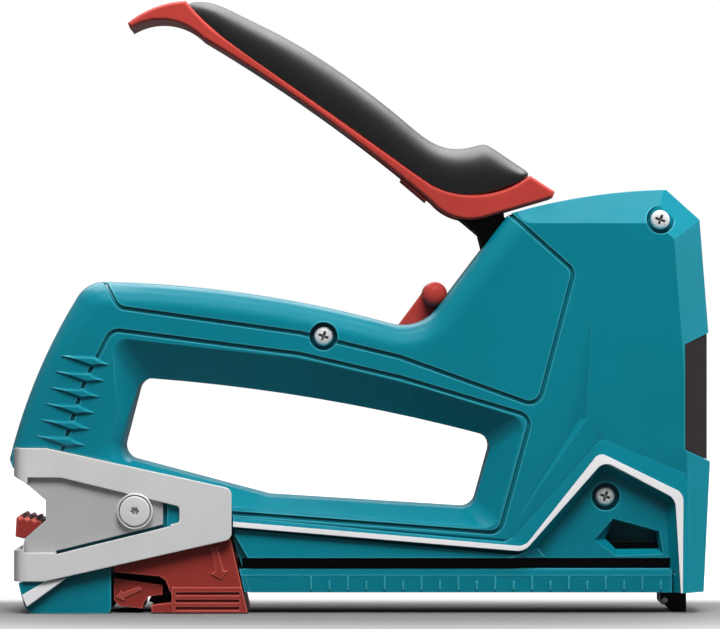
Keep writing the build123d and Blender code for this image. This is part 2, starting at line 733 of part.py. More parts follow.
# Lever moulding: a side band with a catch below it, a hump under the grip, and a hollow for the steel lever
lever_catch = ((-75.0, 119.8), (-76.1, 117.9), (-69.1, 112.0), (-68.0, 114.0))
with BuildPart() as lever_core:
    with BuildSketch(side):
        with BuildLine():
            bill_top = ThreePointArc((-134.4, 166.5), (-143.0, 164.7), (-150.2, 160.5))
            bill_tip = Line(bill_top @ 1, (-149.6, 159.0))
            bill_under = ThreePointArc(bill_tip @ 1, (-141.0, 161.3), (-130.0, 156.5))
            under = ThreePointArc(bill_under @ 1, (-93.0, 132.0), (-67.5, 111.8))
            heel = ThreePointArc(under @ 1, (-60.5, 107.4), (-53.0, 107.6))
            toe = Polyline(heel @ 1, (-34.6, 113.0), (-34.0, 114.6), (-40.8, 119.0))
            instep = ThreePointArc(toe @ 1, (-56.5, 113.7), (-67.5, 116.4))
            upper = Line(instep @ 1, (-122.3, 155.5))
            ThreePointArc(upper @ 1, (-130.2, 161.8), bill_top @ 0)
        make_face()
    extrude(amount=shell_half - band_edge, both=True)
    for face in lever_core.faces().filter_by(side):
        extrude(face, amount=band_edge, taper=45)
    with BuildSketch(side):
        Polygon(*lever_catch, align=None)
    extrude(amount=hump_half, both=True)
    with BuildSketch(side):
        Polygon(
            (-120.0, 157.0), (-72.0, 127.5), (-62.0, 121.0), (-52.0, 122.5), (-46.0, 119.5),
            (-46.0, 113.0), (-60.0, 110.0), (-68.0, 114.0), (-120.0, 152.0),
            align=None,
        )
    extrude(amount=hump_half, both=True)

with BuildPart() as lever_shell:
    add(lever_core.part)
    with BuildSketch(side):
        Polygon(
            (-118.0, 152.8), (-72.0, 124.5), (-62.0, 118.6), (-52.0, 119.5), (-47.0, 117.0),
            (-43.0, 110.0), (-43.0, 98.0), (-75.0, 98.0), (-118.0, 138.0),
            align=None,
        )
    extrude(amount=hollow_half, both=True, mode=Mode.SUBTRACT)
    for place in rivet_places:
        add(across(rivet_radius, hump_half - seat_gap, place), mode=Mode.SUBTRACT)
lever_shell.part.label = "lever_shell"
export_step(lever_shell.part, "parts/lever_shell.step")

with BuildPart() as lever_rivets:
    for place in rivet_places:
        add(across(rivet_radius, hump_half - seat_gap, place))
lever_rivets.part.label = "lever_rivets"
export_step(lever_rivets.part, "parts/lever_rivets.step")

# Soft grip: crowned sections from the bill to the toe, fitted over the hump.
# Each section has a low point, a high point and how much narrower it is than the widest.
grip_sections = (
    ((-133.8, 165.0), (-133.0, 166.6), 3.0),
    ((-129.6, 160.4), (-126.2, 165.1), 0.9),
    ((-122.8, 154.8), (-118.0, 161.6), 0.2),
    ((-105.1, 142.8), (-99.0, 151.6), 0.0),
    ((-87.5, 130.9), (-81.2, 139.9), 0.0),
    ((-77.1, 122.8), (-70.8, 131.3), 0.0),
    ((-66.8, 114.8), (-62.3, 126.4), 0.0),
    ((-58.8, 112.6), (-55.5, 127.2), 0.0),
    ((-50.0, 115.0), (-50.4, 127.4), 0.2),
    ((-42.6, 117.6), (-43.4, 122.8), 0.9),
)
crown_share = 0.65
crown_facets = 8
with BuildPart() as lever_grip:
    for low, high, narrowing in grip_sections:
        rise = Vector(high[0] - low[0], 0, high[1] - low[1])
        half = grip_half - narrowing
        shoulder_height = rise.length * (1 - crown_share)
        crown_height = rise.length * crown_share
        turns = [pi * step / crown_facets for step in range(crown_facets + 1)]
        crown_points = [(half * cos(turn), shoulder_height + crown_height * sin(turn)) for turn in turns]
        with BuildSketch(Plane((low[0], 0, low[1]), x_dir=(0, 1, 0), z_dir=Vector(0, 1, 0).cross(rise))):
            Polygon((half, 0), *crown_points, (-half, 0), align=None)
    loft()
    add(lever_core.part, mode=Mode.SUBTRACT)
lever_grip.part.label = "lever_grip"
export_step(lever_grip.part, "parts/lever_grip.step")

# Plunger with its spring flange and cross pin, and the driver blade
with BuildPart() as plunger:
    with BuildSketch(Plane.XY.offset(plunger_bottom)):
        with Locations((-blade_sheet / 2, 0)):
            Rectangle(plunger_back - blade_sheet / 2, 2 * plunger_half, align=(Align.MAX, Align.CENTER))
    extrude(amount=flange_top - plunger_bottom)
    with BuildSketch(Plane.XY.offset(flange_top)):
        with Locations((spring_axis_x, 0)):
            Circle(flange_radius)
    extrude(amount=-flange_sheet)
    with BuildSketch(Plane.XY.offset(flange_top)):
        with Locations((spring_axis_x, 0)):
            Circle(stem_radius)
    extrude(amount=stem_height)
    add(across(fork_pin_radius, arm_outer, (pin_x, pin_z)), mode=Mode.SUBTRACT)
plunger.part.label = "plunger"
export_step(plunger.part, "parts/plunger.step")

with BuildPart() as plunger_pin:
    add(across(fork_pin_radius, arm_outer, (pin_x, pin_z)))
plunger_pin.part.label = "plunger_pin"
export_step(plunger_pin.part, "parts/plunger_pin.step")

blade_screw_z = plunger_bottom + blade_screw_height
with BuildPart() as driver_blade:
    with BuildSketch(Plane.YZ.offset(-blade_sheet / 2)):
        Rectangle(2 * blade_half, pin_z, align=(Align.CENTER, Align.MIN))
        with Locations((0, blade_screw_z)):
            Circle(blade_screw_radius, mode=Mode.SUBTRACT)
    extrude(amount=blade_sheet)
driver_blade.part.label = "driver_blade"
export_step(driver_blade.part, "parts/driver_blade.step")

with BuildPart() as blade_screw:
    with BuildSketch(Plane.YZ.offset(-blade_sheet / 2)):
        with Locations((0, blade_screw_z)):
            Circle(blade_screw_radius)
    extrude(amount=blade_sheet)
    with BuildSketch(Plane.YZ.offset(blade_sheet / 2)):
        with Locations((0, blade_screw_z)):
            Circle(2 * blade_screw_radius)
    extrude(amount=blade_screw_radius)
blade_screw.part.label = "blade_screw"
export_step(blade_screw.part, "parts/blade_screw.step")

coil_height = seat_bottom - flange_top - spring_wire - 4 * seat_gap
coil_start = flange_top + spring_wire / 2 + 2 * seat_gap
with BuildPart() as drive_spring:
    add(
        coil(
            spring_mean_radius, spring_wire, spring_turns, (spring_axis_x, 0, coil_start), (0, 0, 1),
            coil_height,
        )
    )
drive_spring.part.label = "drive_spring"
export_step(drive_spring.part, "parts/drive_spring.step")

with BuildPart() as spring_seat:
    with BuildSketch(Plane.XY.offset(seat_bottom)):
        with Locations((spring_axis_x, 0)):
            Circle(flange_radius)
    extrude(amount=spring_seat_sheet)
    with BuildSketch(Plane.XY.offset(seat_bottom)):
        with Locations((spring_axis_x, 0)):
            Circle(stem_radius)
    extrude(amount=-stem_height)
spring_seat.part.label = "spring_seat"
export_step(spring_seat.part, "parts/spring_seat.step")

# Rubber block that stops the plunger
with BuildPart() as bumper:
    with BuildSketch(Plane.XY.offset(chamber_floor)):
        with Locations((-plunger_back, 0)):
            Rectangle(
                plunger_back - blade_sheet / 2 - running_gap, 2 * flange_radius,
                align=(Align.MIN, Align.CENTER),
            )
    extrude(amount=plunger_bottom - chamber_floor - bumper_gap)
    fillet(bumper.edges().filter_by(Axis.Z), 2 * running_gap)
bumper.part.label = "bumper"
export_step(bumper.part, "parts/bumper.step")

# Nose: a slotted steel guide with ears for the magazine pin
with BuildPart() as nose:
    with BuildSketch(side):
        Polygon(
            (nose_back, nose_top), (nose_front, nose_top), (nose_front, 0), (nose_back, 0), (-4.9, 3.6),
            (-5.2, ear_top), (nose_back, ear_top),
            align=None,
        )
    extrude(amount=nose_half, both=True)
    with BuildSketch(Plane.XY):
        Rectangle(blade_sheet + 2 * blade_play, 2 * slot_half)
    extrude(amount=nose_top, mode=Mode.SUBTRACT)
    with BuildSketch(side):
        with Locations((nose_back, 0)):
            Rectangle(nose_top, ear_top, align=(Align.MAX, Align.MIN))
        with Locations((0, ear_top)):
            Rectangle(nose_top, channel_top - ear_top, align=(Align.MAX, Align.MIN))
    extrude(amount=slot_half, both=True, mode=Mode.SUBTRACT)
    add(across(magazine_pin_radius, nose_half, magazine_pivot), mode=Mode.SUBTRACT)
nose.part.label = "nose"
export_step(nose.part, "parts/nose.step")

with BuildPart() as magazine_pin:
    add(across(magazine_pin_radius, nose_half, magazine_pivot))
magazine_pin.part.label = "magazine_pin"
export_step(magazine_pin.part, "parts/magazine_pin.step")

# Magazine: fixed channel, swinging rail and its moulded end
with BuildPart() as magazine_channel:
    with BuildSketch(Plane.YZ.offset(channel_rear)):
        with Locations((0, channel_top)):
            Rectangle(2 * channel_outer, channel_top - channel_bottom, align=(Align.CENTER, Align.MAX))
        with Locations((0, channel_top - channel_sheet)):
            Rectangle(2 * channel_inner, channel_top, align=(Align.CENTER, Align.MAX), mode=Mode.SUBTRACT)
    extrude(amount=nose_back - seat_gap - channel_rear)
magazine_channel.part.label = "magazine_channel"
export_step(magazine_channel.part, "parts/magazine_channel.step")

rail_inner = rail_half - rail_sheet
with BuildPart() as magazine_rail:
    with BuildSketch(side):
        with Locations((rail_rear, rail_bottom)):
            Rectangle(rail_front - rail_rear, rail_top - rail_bottom, align=(Align.MIN, Align.MIN))
        with Locations(magazine_pivot):
            Circle(lug_radius)
            Rectangle(2 * lug_radius, rail_top - rail_bottom, align=(Align.CENTER, Align.MIN))
    extrude(amount=rail_half, both=True)
    with BuildSketch(Plane.YZ.offset(rail_rear)):
        with Locations((0, rail_bottom + rail_sheet)):
            Rectangle(2 * rail_inner, rail_top, align=(Align.CENTER, Align.MIN))
    extrude(amount=-rail_rear, mode=Mode.SUBTRACT)
    with Locations((magazine_pivot[0], 0, rail_bottom)):
        Box(
            4 * lug_radius, 2 * rail_inner, rail_bottom,
            align=(Align.CENTER, Align.CENTER, Align.MAX), mode=Mode.SUBTRACT,
        )
    add(across(magazine_pin_radius + bearing_gap, rail_half, magazine_pivot), mode=Mode.SUBTRACT)
magazine_rail.part.label = "magazine_rail"
export_step(magazine_rail.part, "parts/magazine_rail.step")

with BuildPart() as magazine_end:
    with BuildSketch(side):
        Polygon(
            (-153.8, 11.3), (-153.8, 15.4), (-122.6, 22.4), (-117.5, 0.3), (-143.6, 0.3), (-143.6, 2.3),
            (-138.1, 3.0), (-138.1, 5.0), (-139.8, 9.0), (-141.4, 10.1),
            align=None,
        )
    extrude(amount=end_half, both=True)
    with BuildSketch(side):
        Polygon((-138.1, 0.3), (-138.1, 7.2), (-119.1, 7.2), (-117.5, 0.3), align=None)
    extrude(amount=end_half + block_proud, both=True)
    with BuildSketch(side):
        Polygon((-153.8, 12.0), (-150.4, 12.0), (-150.4, 20.6), (-152.4, 20.6), (-153.8, 18.8), align=None)
    extrude(amount=release_half, both=True)
    with BuildSketch(Plane.YZ.offset(rail_rear)):
        with Locations((0, rail_bottom)):
            Rectangle(2 * rail_half, rail_top - rail_bottom, align=(Align.CENTER, Align.MIN))
        with Locations((0, plug_bottom)):
            Rectangle(2 * rail_inner, rail_top, align=(Align.CENTER, Align.MIN), mode=Mode.SUBTRACT)
    extrude(amount=-rail_rear, mode=Mode.SUBTRACT)
    with BuildSketch(Plane.YZ.offset(plug_front)):
        with Locations((0, rail_bottom)):
            Rectangle(2 * rail_half, rail_top - rail_bottom, align=(Align.CENTER, Align.MIN))
    extrude(amount=-plug_front, mode=Mode.SUBTRACT)
    with BuildSketch(Plane.YZ.offset(rod_rear)):
        with Locations((0, rod_height)):
            Circle(rod_radius + 2 * seat_gap)
    extrude(amount=-rod_rear, mode=Mode.SUBTRACT)
    with BuildSketch(side.offset(end_half + block_proud - rib_depth)) as end_ribs:
        for height in rib_heights:
            with Locations((-128.4, height)):
                Rectangle(17.4, rib_height)
    extrude(amount=rib_depth, mode=Mode.SUBTRACT)
    with BuildSketch(side.offset(rib_depth - end_half - block_proud)):
        add(end_ribs.sketch_local)
    extrude(amount=-rib_depth, mode=Mode.SUBTRACT)
magazine_end.part.label = "magazine_end"
export_step(magazine_end.part, "parts/magazine_end.step")

# Pusher cap and rod, and the follower with its spring
with BuildPart() as pusher_cap:
    with BuildSketch(side):
        Polygon(
            (-153.9, 9.5), (-140.7, 7.6), (-140.7, 5.0), (-144.4, 4.5), (-145.8, 2.8), (-146.1, 1.2),
            (-152.4, 1.9), (-153.9, 3.6),
            align=None,
        )
    extrude(amount=cap_half, both=True)
    with BuildSketch(Plane.YZ.offset(rod_rear)):
        with Locations((0, rod_height)):
            Circle(rod_radius)
    extrude(amount=-rod_rear, mode=Mode.SUBTRACT)
pusher_cap.part.label = "pusher_cap"
export_step(pusher_cap.part, "parts/pusher_cap.step")

follower_rear = follower_front - follower_length
with BuildPart() as pusher_rod:
    with BuildSketch(Plane.YZ.offset(rod_rear)):
        with Locations((0, rod_height)):
            Circle(rod_radius)
    extrude(amount=follower_rear - rod_rear)
pusher_rod.part.label = "pusher_rod"
export_step(pusher_rod.part, "parts/pusher_rod.step")

follower_top = channel_top - channel_sheet - 2 * follower_play
with BuildPart() as staple_follower:
    with BuildSketch(Plane.YZ.offset(follower_front)):
        with Locations((0, follower_top)):
            Rectangle(
                2 * (channel_inner - follower_play), follower_top - rail_bottom - follower_play,
                align=(Align.CENTER, Align.MAX),
            )
        with Locations((0, rail_top + follower_play)):
            Rectangle(
                2 * (rail_half + follower_play), rail_top,
                align=(Align.CENTER, Align.MAX), mode=Mode.SUBTRACT,
            )
        with Locations((0, plug_bottom)):
            Rectangle(
                2 * (rail_inner - follower_play), rail_top - plug_bottom + 2 * follower_play,
                align=(Align.CENTER, Align.MIN),
            )
    extrude(amount=-follower_length)
staple_follower.part.label = "staple_follower"
export_step(staple_follower.part, "parts/staple_follower.step")

coil_length = follower_rear - plug_front - pusher_spring_wire - 2 * seat_gap
coil_rear = plug_front + pusher_spring_wire / 2 + seat_gap
coil_centre = (plug_bottom + rail_top) / 2
with BuildPart() as pusher_spring:
    add(
        coil(
            pusher_spring_radius, pusher_spring_wire, pusher_spring_turns, (coil_rear, 0, coil_centre),
            (1, 0, 0), coil_length,
        )
    )
pusher_spring.part.label = "pusher_spring"
export_step(pusher_spring.part, "parts/pusher_spring.step")

# Lever lock with its cross knob, and its pin
with BuildPart() as lever_lock:
    lock_reach = Vector(knob_centre[0] - lock_pivot[0], knob_centre[1] - lock_pivot[1])
    with BuildSketch(side):
        with Locations(Location((*lock_pivot, 0), (0, 0, degrees(atan2(lock_reach.Y, lock_reach.X))))):
            Circle(lock_hub)
            Rectangle(lock_reach.length, lock_width, align=(Align.MIN, Align.CENTER))
    extrude(amount=lock_half, both=True)
    add(across(knob_radius, knob_half, knob_centre))
    chamfer(lever_lock.edges().group_by(Axis.Y)[0] + lever_lock.edges().group_by(Axis.Y)[-1], knob_edge)
    add(across(lock_pin_radius + bearing_gap, lock_half, lock_pivot), mode=Mode.SUBTRACT)
lever_lock.part.label = "lever_lock"
export_step(lever_lock.part, "parts/lever_lock.step")

with BuildPart() as lock_pin:
    add(across(lock_pin_radius, lock_half + pin_seat, lock_pivot))
lock_pin.part.label = "lock_pin"
export_step(lock_pin.part, "parts/lock_pin.step")

# Release lever with its ribbed thumb tab, and its pin
with BuildPart() as release_lever:
    with BuildSketch(side):
        Polygon(
            (-181.2, 20.4), (-181.2, 25.8), (-177.8, 27.7), (-172.8, 26.4), (-164.0, 17.4), (-160.4, 20.0),
            (-156.3, 20.0), (-156.3, 18.6), (-158.8, 18.2), (-161.4, 12.6), (-165.0, 12.4), (-172.8, 22.4),
            (-178.6, 19.9),
            align=None,
        )
        with Locations(release_pivot):
            Circle(release_hub)
    extrude(amount=release_half, both=True)
    add(across(release_pin_radius + bearing_gap, release_half, release_pivot), mode=Mode.SUBTRACT)
release_lever.part.label = "release_lever"
export_step(release_lever.part, "parts/release_lever.step")

with BuildPart() as release_pin:
    add(across(release_pin_radius, release_half + pin_seat, release_pivot))
release_pin.part.label = "release_pin"
export_step(release_pin.part, "parts/release_pin.step")
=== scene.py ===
# %% [markdown]
# # A hand tacker
#
# The solids of this tool come from a CAD frame at their real size: housing halves, lever, magazine and
# so on. In this lesson they are given their finishes, and the small raised and sunk forms that a mould
# leaves on plastic. The frame is loaded first, because every later step takes its places from it.

# %% Load the frame
import json
from math import pi, radians

import bmesh
import bpy
from mathutils import Matrix, Vector


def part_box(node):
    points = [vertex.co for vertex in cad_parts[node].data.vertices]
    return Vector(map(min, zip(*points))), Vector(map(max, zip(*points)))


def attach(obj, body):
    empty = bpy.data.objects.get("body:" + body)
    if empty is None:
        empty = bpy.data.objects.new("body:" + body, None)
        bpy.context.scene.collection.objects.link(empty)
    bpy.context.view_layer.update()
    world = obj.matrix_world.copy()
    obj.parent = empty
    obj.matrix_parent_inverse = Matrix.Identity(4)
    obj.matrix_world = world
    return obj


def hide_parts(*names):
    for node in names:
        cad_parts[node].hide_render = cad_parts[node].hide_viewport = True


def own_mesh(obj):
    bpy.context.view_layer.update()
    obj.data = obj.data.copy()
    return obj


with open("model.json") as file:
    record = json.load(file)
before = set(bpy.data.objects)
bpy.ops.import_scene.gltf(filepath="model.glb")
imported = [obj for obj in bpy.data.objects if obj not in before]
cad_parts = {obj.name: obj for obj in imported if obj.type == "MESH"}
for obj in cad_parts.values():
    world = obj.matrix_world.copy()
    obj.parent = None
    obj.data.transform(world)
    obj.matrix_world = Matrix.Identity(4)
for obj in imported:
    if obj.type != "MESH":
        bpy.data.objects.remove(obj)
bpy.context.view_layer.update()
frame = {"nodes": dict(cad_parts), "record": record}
nodes = frame["nodes"]
record = frame["record"]
body_of = {node: body for body, group in record["behaviour"]["bodies"].items() for node in group}
slot_of = {entry["node"]: entry["material_slot"] for entry in record["subparts"]}
scene = bpy.context.scene
mm = 0.001  # the frame is in metres, and the outlines below are drawn in millimetres

# %% [markdown]
# ## Camera
#
# The portrait is a straight side view from a good distance. A long lens keeps the far edge of the
# housing hidden behind the near one. It could be found by trial, but it also follows from the width
# that the picture covers at the tool's middle plane.

# %% Camera
view_distance = 1.2
view_centre = Vector((-87.0 * mm, 0, 81.2 * mm))
view_width = 197.9 * mm
camera_data = bpy.data.cameras.new("portrait")
camera_data.sensor_width = 36
camera_data.lens = camera_data.sensor_width * view_distance / view_width
camera = bpy.data.objects.new("portrait", camera_data)
camera.location = view_centre + Vector((0, -view_distance, 0))
camera.rotation_euler = (pi / 2, 0, 0)
scene.collection.objects.link(camera)
scene.camera = camera
print("lens", round(camera_data.lens, 1), "mm")

# %% [markdown]
# ## Floor
#
# The tool stands on pale paper that shows white and still keeps the tool's shadow. A brightly lit white
# floor would do that too, but it would throw light up at the tool and veil its gloss. So the paper is
# grey for light that bounces, and a glow that only direct looks can see lifts it to white: slowly with
# the distance from the tool, which leaves a painted shade round it, and sooner behind it, a painted light
# where white shows under the magazine.


# %% Nodes of a shader
def put(tree, kind, values=None, **settings):
    """A node in a shader tree, with its settings, and plain values on its inputs."""
    node = tree.nodes.new("ShaderNode" + kind)
    for name, choice in settings.items():
        setattr(node, name, choice)
    for socket, value in (values or {}).items():
        node.inputs[socket].default_value = value
    return node


def seen_directly(tree, gloss_share=0.02):
    """One for rays from the camera or through glass and a share for gloss, and that share's socket."""
    ray = put(tree, "LightPath")
    gloss = put(tree, "Math", {1: gloss_share}, operation="MULTIPLY")
    straight = put(tree, "Math", operation="MAXIMUM")
    either = put(tree, "Math", operation="MAXIMUM")
    tree.links.new(ray.outputs["Is Glossy Ray"], gloss.inputs[0])
    tree.links.new(ray.outputs["Is Camera Ray"], straight.inputs[0])
    tree.links.new(ray.outputs["Is Transmission Ray"], straight.inputs[1])
    tree.links.new(straight.outputs["Value"], either.inputs[0])
    tree.links.new(gloss.outputs["Value"], either.inputs[1])
    return either.outputs["Value"], gloss.inputs[1]


# %% Paper
bounced_grey = (0.08, 0.08, 0.08, 1)
direct_grey = (0.20, 0.20, 0.20, 1)
floor_shade = bpy.data.materials.new("white_paper")
floor_shade.use_nodes = True
tree = floor_shade.node_tree
paper = tree.nodes["Principled BSDF"]
paper.inputs["Roughness"].default_value = 0.7
paper.inputs["Specular IOR Level"].default_value = 0.0
paper_colour = put(tree, "Mix", data_type="RGBA")
paper_colour.inputs["A"].default_value = bounced_grey
paper_colour.inputs["B"].default_value = direct_grey
tree.links.new(seen_directly(tree)[0], paper_colour.inputs["Factor"])
tree.links.new(paper_colour.outputs["Result"], paper.inputs["Base Color"])
print("paper:", bounced_grey[0], "for bounced light,", direct_grey[0], "seen directly")

# %% Glow of the paper
# The glow is painted light. It leaves the paper grey round the tool, a painted shade, and lifts it to white
# behind the tool, over the tool's shadow.
tool_middle = 0.087  # how far the tool's middle lies from the origin, towards -X
flattened = 0.45  # the glow's rings are long ovals, as the tool is
painted_shade_round = {"From Min": 0.03, "From Max": 0.16}
painted_light_behind = {"From Min": 0.02, "From Max": 0.06}
place = put(tree, "TexCoord")
centre = put(tree, "Mapping", {"Location": (tool_middle * flattened, 0, 0), "Scale": (flattened, 1, 1)})
reach = put(tree, "VectorMath", operation="LENGTH")
around = put(tree, "MapRange", painted_shade_round, interpolation_type="SMOOTHSTEP")
sides = put(tree, "SeparateXYZ")
behind = put(tree, "MapRange", painted_light_behind, interpolation_type="SMOOTHSTEP")
brighter = put(tree, "Math", operation="MAXIMUM")
seen = put(tree, "Math", operation="MULTIPLY")
glow = put(tree, "Emission")
total = put(tree, "AddShader")
tree.links.new(place.outputs["Object"], centre.inputs["Vector"])
tree.links.new(centre.outputs["Vector"], reach.inputs[0])
tree.links.new(reach.outputs["Value"], around.inputs["Value"])
tree.links.new(place.outputs["Object"], sides.inputs["Vector"])
tree.links.new(sides.outputs["Y"], behind.inputs["Value"])
tree.links.new(around.outputs["Result"], brighter.inputs[0])
tree.links.new(behind.outputs["Result"], brighter.inputs[1])
tree.links.new(brighter.outputs["Value"], seen.inputs[0])
tree.links.new(seen_directly(tree)[0], seen.inputs[1])
tree.links.new(seen.outputs["Value"], glow.inputs["Strength"])
tree.links.new(paper.outputs["BSDF"], total.inputs[0])
tree.links.new(glow.outputs["Emission"], total.inputs[1])
tree.links.new(total.outputs["Shader"], tree.nodes["Material Output"].inputs["Surface"])
print("glow: full from", painted_light_behind["From Max"], "m behind the tool")

# %% Sheet of the floor
bm = bmesh.new()
bmesh.ops.create_grid(bm, x_segments=1, y_segments=1, size=3)
floor_mesh = bpy.data.meshes.new("floor")
bm.to_mesh(floor_mesh)
bm.free()
floor = bpy.data.objects.new("floor", floor_mesh)
floor_mesh.materials.append(floor_shade)
scene.collection.objects.link(floor)
print("floor", tuple(round(side, 2) for side in floor.dimensions))

# %% [markdown]
# ## Sky and lamps
#
# A dim even sky fills the shadows, and wide soft lamps do the rest: a key lamp in front and above, one
# overhead for the upward bevels, one at the right for the nose, a faint one for the rear of the tool,
# and one behind it for views from there. Most of them stay out of reflections, because their mirror
# images would lie on the plastic as a veil. The long gleams on the grip and the handle come from a lamp
# that only gloss can see, and from the backdrop, which gloss sees brighter high up and behind the tool.

# %% Sky and backdrop
white = (1, 1, 1, 1)
rear_weight = {1: 0.6, 2: 0.4}  # a factor for the direction towards the rear, and a base
gloss_of_height = {"From Min": 0.08, "From Max": 0.55, "To Min": 0.08, "To Max": 0.6}
world = bpy.data.worlds.new("studio")
scene.world = world
world.use_nodes = True
tree = world.node_tree
sky = tree.nodes["Background"]
sky.inputs["Color"].default_value = white
sky.inputs["Strength"].default_value = 0.06
backdrop = put(tree, "Background", {"Color": white})
choose = put(tree, "MixShader")
outlook = put(tree, "TexCoord")
parts = put(tree, "SeparateXYZ")
rearward = put(tree, "Math", rear_weight, operation="MULTIPLY_ADD")
above = put(tree, "Math", operation="MULTIPLY")
bright = put(tree, "MapRange", gloss_of_height)
visible, gloss_share = seen_directly(tree)
tree.links.new(outlook.outputs["Generated"], parts.inputs["Vector"])
tree.links.new(parts.outputs["Y"], rearward.inputs[0])
tree.links.new(parts.outputs["Z"], above.inputs[0])
tree.links.new(rearward.outputs["Value"], above.inputs[1])
tree.links.new(above.outputs["Value"], bright.inputs["Value"])
tree.links.new(bright.outputs["Result"], gloss_share)
tree.links.new(visible, choose.inputs["Fac"])
tree.links.new(sky.outputs["Background"], choose.inputs[1])
tree.links.new(backdrop.outputs["Background"], choose.inputs[2])
tree.links.new(choose.outputs["Shader"], tree.nodes["World Output"].inputs["Surface"])
scene.view_settings.view_transform = "Standard"
print("sky", round(sky.inputs["Strength"].default_value, 2))

# %% Lamps
lamp_aim = Vector((-tool_middle, 0, 0.07))


def lamp(name, place, width, height, power, gleams=True, lights=True):
    """A wide lamp that looks at the tool's middle; its gleam or its light can be left out."""
    light = bpy.data.lights.new(name, "AREA")
    light.shape = "RECTANGLE"
    light.size = width
    light.size_y = height
    light.energy = power
    holder = bpy.data.objects.new(name, light)
    holder.location = place
    look = lamp_aim - Vector(place)
    holder.rotation_euler = look.to_track_quat("-Z", "Y").to_euler()
    holder.visible_glossy = gleams
    holder.visible_diffuse = lights
    scene.collection.objects.link(holder)
    print(name, power, "W")


lamp("key", (-0.06, -0.62, 0.86), width=0.6, height=0.5, power=13.4, gleams=False)
lamp("overhead", (-0.10, 0.06, 0.95), width=0.9, height=0.4, power=5.0)
lamp("right_side", (0.85, -0.05, 0.40), width=0.4, height=0.8, power=8.5, gleams=False)
lamp("rear_gleam", (-0.09, 0.50, 0.85), width=1.2, height=0.8, power=10.0, lights=False)
lamp("left_front", (-0.70, -0.90, 0.30), width=0.5, height=0.7, power=0.4, gleams=False)
lamp("rear_fill", (0.05, 0.85, 0.55), width=0.6, height=0.6, power=8.0, gleams=False)

# %% [markdown]
# ## What the finishes share
#
# Every finish is a small node tree on a Principled shader. Corners could all be modelled round, but that
# takes many faces. A Bevel node bends the normals near an edge instead, so that moulded corners catch the
# light. On top of it lies the grain of the real surface. Colour and gloss drift a little from place to
# place, because no moulding is perfectly even. Outer edges get a painted highlight and narrow hollows a
# painted shade, and an Ambient Occlusion node that looks into the piece or out of it finds both.


# %% Patterns and ranges
def shade_tree(name, colour, roughness, metallic=0.0):
    """A new material with its Principled shader set to plain values."""
    material = bpy.data.materials.new(name)
    material.use_nodes = True
    shader = material.node_tree.nodes["Principled BSDF"]
    shader.inputs["Base Color"].default_value = (*colour, 1)
    shader.inputs["Roughness"].default_value = roughness
    shader.inputs["Metallic"].default_value = metallic
    return material, material.node_tree, shader


def noise(tree, scale, detail=2.0, stretch=(1, 1, 1)):
    """Noise on Object coordinates, stretched along an axis where the finish has a grain."""
    place = put(tree, "TexCoord")
    mapping = put(tree, "Mapping", {"Scale": stretch})
    texture = put(tree, "TexNoise", {"Scale": scale, "Detail": detail})
    tree.links.new(place.outputs["Object"], mapping.inputs["Vector"])
    tree.links.new(mapping.outputs["Vector"], texture.inputs["Vector"])
    return texture.outputs["Fac"]


def stretched(tree, value, low, high, to_low, to_high):
    """A value's range from low to high moved to another range, and held at its ends."""
    ends = {"From Min": low, "From Max": high, "To Min": to_low, "To Max": to_high}
    span = put(tree, "MapRange", ends)
    tree.links.new(value, span.inputs["Value"])
    return span.outputs["Result"]


def spread(tree, value, low, high):
    """The usual range of a noise, from 0.3 to 0.7, moved to low and high."""
    return stretched(tree, value, 0.3, 0.7, low, high)


# %% Edges, hollows and grain
probe_rays = 6


def nearness(tree, distance, inside):
    """One where the piece has no other surface within a distance, looking into it or out of it."""
    probe = put(
        tree, "AmbientOcclusion", {"Distance": distance},
        inside=inside, only_local=True, samples=probe_rays,
    )
    return probe.outputs["AO"]


def grain(tree, shader, height, strength, depth, edge_radius):
    """A bump of the given grain over edges that look filleted, wired to the shader."""
    edges = put(tree, "Bevel", {"Radius": edge_radius}, samples=probe_rays)
    bump = put(tree, "Bump", {"Strength": strength, "Distance": depth})
    tree.links.new(height, bump.inputs["Height"])
    tree.links.new(edges.outputs["Normal"], bump.inputs["Normal"])
    tree.links.new(bump.outputs["Normal"], shader.inputs["Normal"])


def tint(tree, shader, colour, drift, scale, edge_colour=None, hollow=0.3, reach=3.0 * mm):
    """Base colour that drifts, and with a highlight colour has a painted highlight on edges and painted
    shade in hollows.
    """
    mix = put(tree, "Mix", data_type="RGBA")
    mix.inputs["A"].default_value = (*(c * (1 - drift) for c in colour), 1)
    mix.inputs["B"].default_value = (*(min(1, c * (1 + drift)) for c in colour), 1)
    tree.links.new(spread(tree, noise(tree, scale), 0, 1), mix.inputs["Factor"])
    result = mix.outputs["Result"]
    if edge_colour:
        # Painted highlight: outer edges, where a look into the piece soon meets its other side, turn
        # towards the highlight colour.
        rim_width, highlight_share = 0.5 * mm, 0.7
        rim = stretched(tree, nearness(tree, rim_width, inside=True), 0.95, 0.55, 0, highlight_share)
        edges = put(tree, "Mix", data_type="RGBA")
        edges.inputs["B"].default_value = (*edge_colour, 1)
        tree.links.new(rim, edges.inputs["Factor"])
        tree.links.new(result, edges.inputs["A"])
        # Painted shade: hollows, where a look out of the piece meets the piece nearby, darken to a share of
        # the colour.
        open_sky = stretched(tree, nearness(tree, reach, inside=False), 0.25, 0.75, 0, 1)
        shade = put(tree, "Mix", data_type="RGBA")
        shade.inputs["A"].default_value = (*(c * hollow for c in colour), 1)
        tree.links.new(open_sky, shade.inputs["Factor"])
        tree.links.new(edges.outputs["Result"], shade.inputs["B"])
        result = shade.outputs["Result"]
    tree.links.new(result, shader.inputs["Base Color"])
